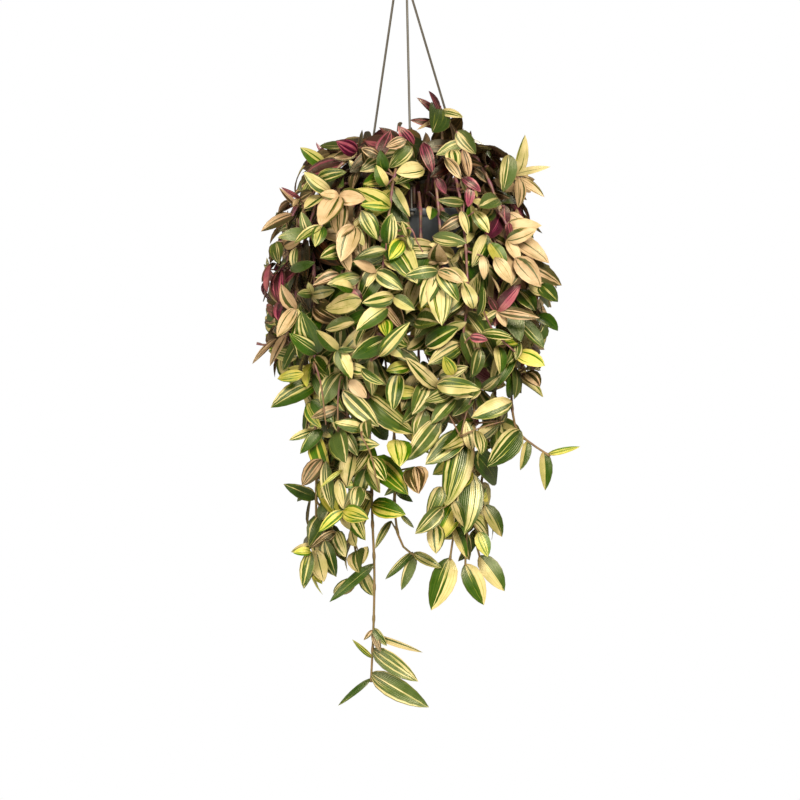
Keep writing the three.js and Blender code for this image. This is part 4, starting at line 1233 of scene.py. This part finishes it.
# How far the plant reaches to the left and right at each height of the photograph
PLANT_EDGES = [
    (88, 414, 458), (119, 412, 458), (126, 372, 470), (136, 332, 478), (147, 302, 498), (165, 299, 530),
    (180, 296, 536), (200, 283, 528), (220, 265, 528), (240, 270, 536), (260, 264, 548), (285, 260, 558),
    (310, 264, 552), (340, 264, 548), (375, 270, 540), (388, 292, 528), (405, 304, 514), (430, 300, 514),
    (455, 308, 514), (480, 303, 490), (500, 296, 491), (530, 308, 498), (560, 302, 484), (585, 304, 498),
    (596, 340, 470), (604, 372, 452),
]
# The gap between its tails, in the same way
TAIL_GAP = [
    (478, 405, 410), (492, 403, 414), (520, 404, 418), (548, 386, 430), (590, 378, 436), (604, 377, 436),
]
# Where one looks into the dark inside of the plant: the middle and how far it reaches
HOLLOWS = [(318, 262, 18), (300, 268, 12), (440, 178, 22), (475, 180, 14)]


def in_hollow(place):
    x, y = photo_place(place)[0]
    return place[1] < 0.02 and any(math.hypot(x - a, y - b) < reach for a, b, reach in HOLLOWS)


def hides_one(places):
    """Whether a leaf here would hide one of those that stand out."""
    seen, depth = photo_place(places), places[:, 1].mean()
    for start, end, half, how_deep in seen_whole:
        if depth < how_deep:
            share = np.clip((seen - start) @ (end - start) / ((end - start) @ (end - start)), 0.15, 0.9)
            off = np.linalg.norm(seen - start - share[:, None] * (end - start), axis=1)
            if (off < half).any():
                return True
    return False


def has_room(places, n):
    if (places < low_corner - OUTREACH).any() or (places > high_corner + OUTREACH).any():
        return False
    middle = places.mean(axis=0)
    if middle[1] < -0.07 and in_hollow(middle):
        return False
    x, y = photo_place(places).T
    heights, left, right = zip(*PLANT_EDGES)
    if y.min() < heights[0] or (x < np.interp(y, heights, left)).any():
        return False
    if (x > np.interp(y, heights, right)).any():
        return False
    heights, left, right = zip(*TAIL_GAP)
    if ((y > heights[0]) & (x > np.interp(y, heights, left)) & (x < np.interp(y, heights, right))).any():
        return False
    return not hides_pot(places) and not hides_one(places) and not room.meets(places, LEAF_FACES, owner=n)


def try_leaf(n, pose_of, keys, tries=EXTRA_TRIES):
    for attempt in range(tries):
        pose = pose_of(attempt)
        places = lay_leaf(pose, leaf_form(1.0 if attempt < tries / 2 else 0.5, *keys, attempt))
        if has_room(places, n):
            leaves[n].append((places, pose, None, keys))
            room.add(places, LEAF_FACES)
            return True
    return False


def between_pose(stem, step, attempt):
    def vary(low, high, what):
        return draw(low, high, stem.number, int(step * 4) + 900, attempt, what)

    root = stem.at(step)
    grow = unit(stem.at(step + 0.1) - stem.at(step - 0.1))
    hand = 1 if vary(0, 1, 7) < 0.5 else -1
    along, normal = heading(vary, root, grow, hand, (-30, 80), (35, 85), (0.0, 0.4), (-35, 35))
    length = vary(0.040, 0.060, 5) * (1 - 0.03 * attempt)
    return {"root": root, "along": along, "normal": normal, "length": length, "bend": vary(0.2, 1.0, 6),
            "width": vary(0.42, 0.54, 8)}


def tuft_pose(base, ahead, number, petal, attempt):
    """One leaf of the star of leaves at the end of a side shoot, whose end heads ahead."""

    def vary(low, high, what):
        return draw(low, high, number, petal, attempt, what)

    aside = unit(np.cross(ahead, UP + 0.01))
    turn = math.radians(137.5 * petal + vary(-25, 25, 11))
    outward = aside * math.cos(turn) + np.cross(ahead, aside) * math.sin(turn)
    spread = math.radians(vary(38, 78, 12))
    along = unit(ahead * math.cos(spread) + outward * math.sin(spread) - UP * vary(0.0, 0.25, 13))
    normal = unit(ahead - along * (ahead @ along))
    length = vary(0.032, 0.050, 14) * (1 - 0.03 * attempt)
    return {"root": base, "along": along, "normal": normal, "length": length, "bend": vary(0.1, 0.9, 15),
            "width": vary(0.42, 0.54, 16)}


TUFT_LEAVES = 5
SHOOTS = 3
for n, stem in enumerate(stems):
    for quarter in range(6, stem.steps * 4 - 1, 2):
        step = quarter / 4
        if quarter % 4 == 0 or is_bare(stem, stem.at(step)):
            continue
        try_leaf(n, lambda attempt: between_pose(stem, step, attempt), (stem.number, quarter + 900))
for n, stem in enumerate(stems):
    for i in range(2, stem.steps + 1):
        if is_bare(stem, stem.nodes[i]):
            continue
        for shoot in range(SHOOTS):
            number = stem.number * 1000 + i * 10 + shoot
            base = stem.nodes[i]
            light = light_at(base)
            sideways = np.cross(light, UP) * draw(-1.1, 1.1, number, 21)
            ahead = unit(light + sideways - UP * draw(-0.3, 0.9, number, 22))
            end = base + ahead * draw(0.012, 0.030, number, 23)
            laid = sum(
                try_leaf(n, lambda attempt: tuft_pose(end, ahead, number, petal, attempt), (number, petal), 6)
                for petal in range(TUFT_LEAVES)
            )
            if laid > 1:
                shoots[n].append((base, end))
print("leaves in all:", sum(len(some) for some in leaves))

# ---- the leaf's colours
leaf_finish = Finish("leaf", 0.4)
# Of each colouring, the colour of the green bands, of the pale green beside them, and of the cream bands
PLAIN = ("193c00", "848e34", "dccb96")
LIME = ("4a7e00", "a4ac10", "d8cc48")
PEACH = ("3e480a", "a9825e", "dab494")
DUSK = ("40141a", "804c44", "be947c")
WINE = ("400622", "801c4c", "ae6068")


def leaf_colours(f):
    on_blade = f.node("UVMap", uv_map="blade").outputs[0]
    across, along, _ = f.parts(on_blade)
    cream_share, seed, sector = f.parts(f.attribute("make", "Vector"))
    flush, dusk, lime = f.parts(f.attribute("tone", "Vector"))
    silver = f.between(f.maths("MULTIPLY", lime, -1.0), 0.0, 0.9)
    lime = f.maths("MAXIMUM", lime, 0.0)
    under = f.attribute("under", "Fac")
    shade = f.maths("FRACT", f.maths("MULTIPLY", seed, 7.31))

    def stripes(count, stretch, shift):
        """Vein-parallel streaks across the blade, a few times longer than it."""
        x = f.maths("MULTIPLY_ADD", across, count, f.maths("MULTIPLY", seed, 61.0 + shift))
        y = f.maths("MULTIPLY_ADD", along, stretch, f.maths("MULTIPLY", seed, 17.0 + shift))
        spot = f.node("CombineXYZ", {0: x, 1: y}).outputs[0]
        noise_of = {"Vector": spot, "Scale": 1.0, "Detail": 1.0}
        return f.node("TexNoise", noise_of, noise_dimensions="2D").outputs[0]

    broad = stripes(5.4, 0.4, 0.0)
    fine = stripes(19.0, 0.7, 5.0)
    tilt = f.maths("MULTIPLY", f.maths("SUBTRACT", across, 0.5), sector)
    value = f.maths("ADD", f.maths("MULTIPLY_ADD", f.maths("SUBTRACT", broad, 0.5), 1.9, 0.5), tilt)
    value = f.maths("MULTIPLY_ADD", f.maths("SUBTRACT", fine, 0.5), 0.34, value)
    off_midrib = f.maths("ABSOLUTE", f.maths("SUBTRACT", across, 0.5))
    value = f.maths("ADD", value, f.between(off_midrib, 0.04, 0.01, 0.0, 0.3))
    wash = f.speckle(45, 2)
    over = f.maths("SUBTRACT", value, f.maths("SUBTRACT", 1.0, cream_share))
    wine = f.between(f.maths("MULTIPLY", flush, dusk), 0.33, 0.5)
    bands = []
    for colours in zip(PLAIN, LIME, PEACH, DUSK, WINE):
        plain, limy, peachy, dusky, winy = (colour(digits) for digits in colours)
        band = f.mix(lime, plain, limy)
        band = f.mix(flush, band, peachy)
        uneven = f.between(stripes(4.0, 1.5, 9.0), 0.3, 0.7, 0.7, 1.0)
        band = f.mix(f.maths("MULTIPLY", dusk, uneven), band, dusky)
        bands.append(f.mix(wine, band, winy))
    green, pale, cream = bands
    green = f.mix(f.maths("MULTIPLY", silver, 0.6), green, colour("54692f"))
    green = f.mix(f.between(shade, 0.4, 1.0, 0.0, 0.16), green, colour("5c6c30"))
    green = f.mix(f.maths("MULTIPLY", f.between(fine, 0.52, 0.62), 0.14), green, pale)
    cream = f.mix(f.maths("MULTIPLY", f.between(fine, 0.38, 0.30), 0.65), cream, pale)
    cream = f.mix(f.between(wash, 0.42, 0.64, 0.0, 0.5), cream, pale)
    top = f.mix(f.between(over, -0.08, -0.04), green, pale)
    top = f.mix(f.between(over, -0.02, 0.03), top, cream)
    beneath = f.mix(0.4, top, colour("9a8468"))
    magenta = f.mix(f.between(fine, 0.4, 0.6), colour("6d2440"), colour("a8637a"))
    beneath = f.mix(f.between(seed, 0.6, 0.85), beneath, magenta)
    surface = f.mix(under, top, beneath)
    edge = f.between(off_midrib, 0.45, 0.5)
    surface = f.mix(f.maths("MULTIPLY", edge, 0.35), surface, colour("8a5c48"))
    mottle = f.speckle(120, 3)
    surface = f.mix(0.4, surface, f.mix(mottle, colour("a8a8a8"), colour("ffffff")), "MULTIPLY")
    # Painted shade: each leaf is darker, with a warm tint, towards its root, where it goes in among the other
    # leaves; own_depth darkens some leaves at random as well.
    own_depth = f.between(f.maths("FRACT", f.maths("MULTIPLY", seed, 3.7)), 0.4, 1.0, 0.0, 0.45)
    root_shade_and_tone = f.maths("MAXIMUM", f.between(along, 0.0, 0.4, 0.6, 0.0), own_depth)
    surface = f.mix(root_shade_and_tone, surface, f.mix(1.0, surface, colour("93805f"), "MULTIPLY"))
    # Painted shade: leaves deep inside the plant, where it is dark, are darkened to brown as their face
    # attribute says.
    shaded_inside = f.mix(1.0, surface, colour("6b4a33"), "MULTIPLY")
    surface = f.mix(f.attribute("inner_shade", "Fac"), surface, shaded_inside)
    ribs = f.node("TexWave", {"Vector": on_blade, "Scale": 4.2})
    f.feed(
        f.shader,
        {
            "Base Color": surface,
            "Roughness": f.between(mottle, 0.3, 0.7, 0.25, 0.38),
            "Specular IOR Level": 0.5,
            "Specular Tint": (1, 0.93, 0.68, 1),
            "Normal": f.bump(ribs.outputs["Fac"], 0.35, 0.0003),
        },
    )


leaf_colours(leaf_finish)

# How the colourings are shared out by height below the rim and by side, roughly as the light falls
CROWN = {"dusk": 8, "wine": 3, "striped": 3, "green": 1, "silver": 3}
TOP_LEFT = {"dusk": 4, "striped": 4, "green": 3, "silver": 3, "half": 2, "peach": 3, "wine": 1, "lime": 1}
RIGHT = {"peach": 6, "half": 2, "striped": 3, "cream": 1, "dusk": 3, "green": 2}
LEFT = {"dusk": 5, "striped": 4, "silver": 3, "green": 4, "wine": 1}
MIDDLE = {"striped": 6, "cream": 2, "half": 3, "peach": 2, "green": 4, "silver": 3, "lime": 2, "dusk": 2}
LOWER = {"striped": 6, "cream": 4, "half": 3, "green": 2, "silver": 4, "lime": 5, "dusk": 1}
LOWEST = {"lime": 6, "cream": 4, "half": 3, "striped": 5, "green": 1, "silver": 2}
REGIONS = [
    (lambda x, h: h > 0.040 or (h > 0.015 and 0 < x < 0.080), CROWN),
    (lambda x, h: h > 0.005 and x < 0.080, TOP_LEFT),
    (lambda x, h: h > -0.13 and x > 0.075, RIGHT),
    (lambda x, h: h > -0.16 and x < -0.085, LEFT),
    (lambda x, h: h > -0.13, MIDDLE),
    (lambda x, h: h > -0.24, LOWER),
    (lambda x, h: True, LOWEST),
]
# Rosettes with a colouring of their own: where they are in the photograph, how far they reach, and the
# colouring that most of their leaves have
ROSETTE_SHARE = 0.85
OWN_SHARE = 0.35
ROSETTES = [
    (421, 112, 15, "wine"), (437, 118, 12, "green"), (455, 110, 8, "striped"), (452, 140, 25, "dusk"),
    (312, 157, 13, "half"), (347, 149, 12, "wine"), (384, 139, 11, "wine"), (405, 135, 9, "wine"),
    (397, 157, 20, "silver"), (410, 174, 13, "half"), (378, 197, 20, "lime"), (340, 205, 24, "peach"),
    (350, 240, 18, "peach"), (521, 155, 14, "cream"), (531, 186, 13, "peach"), (522, 252, 34, "peach"),
    (547, 270, 14, "dusk"), (551, 293, 11, "green"), (549, 325, 13, "green"), (512, 294, 15, "wine"),
    (506, 217, 14, "wine"), (360, 291, 8, "wine"), (269, 290, 22, "wine"), (276, 222, 14, "dusk"),
    (305, 335, 25, "green"), (327, 342, 12, "half"), (442, 343, 16, "striped"), (437, 280, 34, "cream"),
    (389, 509, 18, "lime"), (402, 258, 16, "striped"), (384, 318, 22, "striped"), (452, 396, 26, "silver"),
]


def colouring_at(place, keys):
    """The colouring of a leaf: its rosette's, or one drawn for its joint, which most leaves there share."""
    x, y = photo_place(place)[0]
    for spot_x, spot_y, reach, name in ROSETTES:
        inside = place[1] < 0 and math.hypot(x - spot_x, y - spot_y) < reach
        if inside and draw(0, 1, *keys, 38) < ROSETTE_SHARE:
            return name
    across, _, height = place - RIM_MIDDLE
    shares = next(shares for applies, shares in REGIONS if applies(across, height))
    drawn_for = keys if draw(0, 1, *keys, 39) < OWN_SHARE else (keys[0] // 10,)
    pick = draw(0, sum(shares.values()), *drawn_for, 31)
    for name, share in shares.items():
        pick -= share
        if pick < 0:
            break
    return name


def inner_shade_at(place):
    """How much painted shade darkens a leaf deep inside the plant, where it is dark: fully in a hollow, else
    more the nearer it is to the pot's axis, above the tails.
    """
    if in_hollow(place):
        return 1.0
    out = np.linalg.norm((place - RIM_MIDDLE)[:2])
    return float(np.clip((0.125 - out) / 0.05, 0, 1)) * 0.9 if place[2] > POT_PLACE.z - 0.2 else 0.0


# ---- drawing each stem with its shoots and its leaves
# The stems are purple-red where the light reaches them and olive-brown lower down
stem_finish = Finish("stem", 0.45)
streaks = stem_finish.speckle(160, 4)
_, _, stem_height = stem_finish.parts(stem_finish.place)
low_down = stem_finish.between(stem_height, -0.42, -0.66)
stem_colour = stem_finish.mix(low_down, colour("744050"), colour("6f5f35"))
stem_finish.feed(
    stem_finish.shader,
    {
        "Base Color": stem_finish.mix(
            stem_finish.between(streaks, 0.35, 0.65), stem_colour, colour("7d6340")
        ),
        "Normal": stem_finish.bump(stem_finish.speckle(600, 3), 0.2, 0.0003),
    },
)


# From one joint to the next: how far along, and how thick the stem is there
SWELLINGS = [(0, 1.35), (0.10, 1.0), (0.5, 0.95), (0.82, 1.0), (0.90, 1.3)]
SHOOT_RADII = (0.0013, 0.0008)


def grow_stem(bm, stem):
    """The stem, thinner towards its tip, swollen at each joint where a leaf's sheath clasps it."""
    marks, thick = [], []
    for step in range(stem.steps + 1):
        for shift, swell in SWELLINGS:
            place = step + shift
            if place <= stem.steps:
                marks.append(place / stem.steps)
                thick.append((1.15 - 0.4 * place / stem.steps) * STEM_RADIUS * swell)
    centres, _ = evenly(stem.points, marks)
    sweep(bm, centres, thick, 8)


for n, stem in enumerate(stems):
    node_name = f"leafy_stem_{n + 1:02d}"
    stalk = bmesh.new()
    grow_stem(stalk, stem)
    for course in shoots[n]:
        marks = np.linspace(0, 1, 4 * len(course))
        bends, _ = evenly(course, marks)
        sweep(stalk, bends, np.linspace(*SHOOT_RADII, len(marks)), 6)
    piece(node_name + "_stalk", stalk, stem_finish, "foliage", [node_name])
    foliage = bmesh.new()
    for places, pose, colouring, keys in leaves[n]:
        middle = places.mean(axis=0)
        cream, sector, flush, dusk, lime = COLOURINGS[colouring or colouring_at(middle, keys)]
        side = 1 if colouring or draw(0, 1, *keys, 32) < 0.5 else -1
        make = (cream + draw(-0.12, 0.12, *keys, 33), draw(0, 1, *keys, 34), sector * side)
        tone = (
            flush * draw(0.7, 1, *keys, 35), dusk * draw(0.7, 1, *keys, 36), lime * draw(0.5, 1, *keys, 37),
        )
        pattern.vertices.foreach_set("co", places.ravel())
        for layer, value in (("make", make), ("tone", tone)):
            pattern.attributes[layer].data.foreach_set("vector", value * len(pattern.polygons))
        # Painted shade for a leaf deep inside the plant, when its colouring is drawn
        inner_shade = 0.0 if colouring else inner_shade_at(middle)
        pattern.attributes["inner_shade"].data.foreach_set("value", [inner_shade] * len(pattern.polygons))
        foliage.from_mesh(pattern)
    piece(node_name + "_leaves", foliage, leaf_finish, "foliage", [node_name])

bpy.data.meshes.remove(pattern)
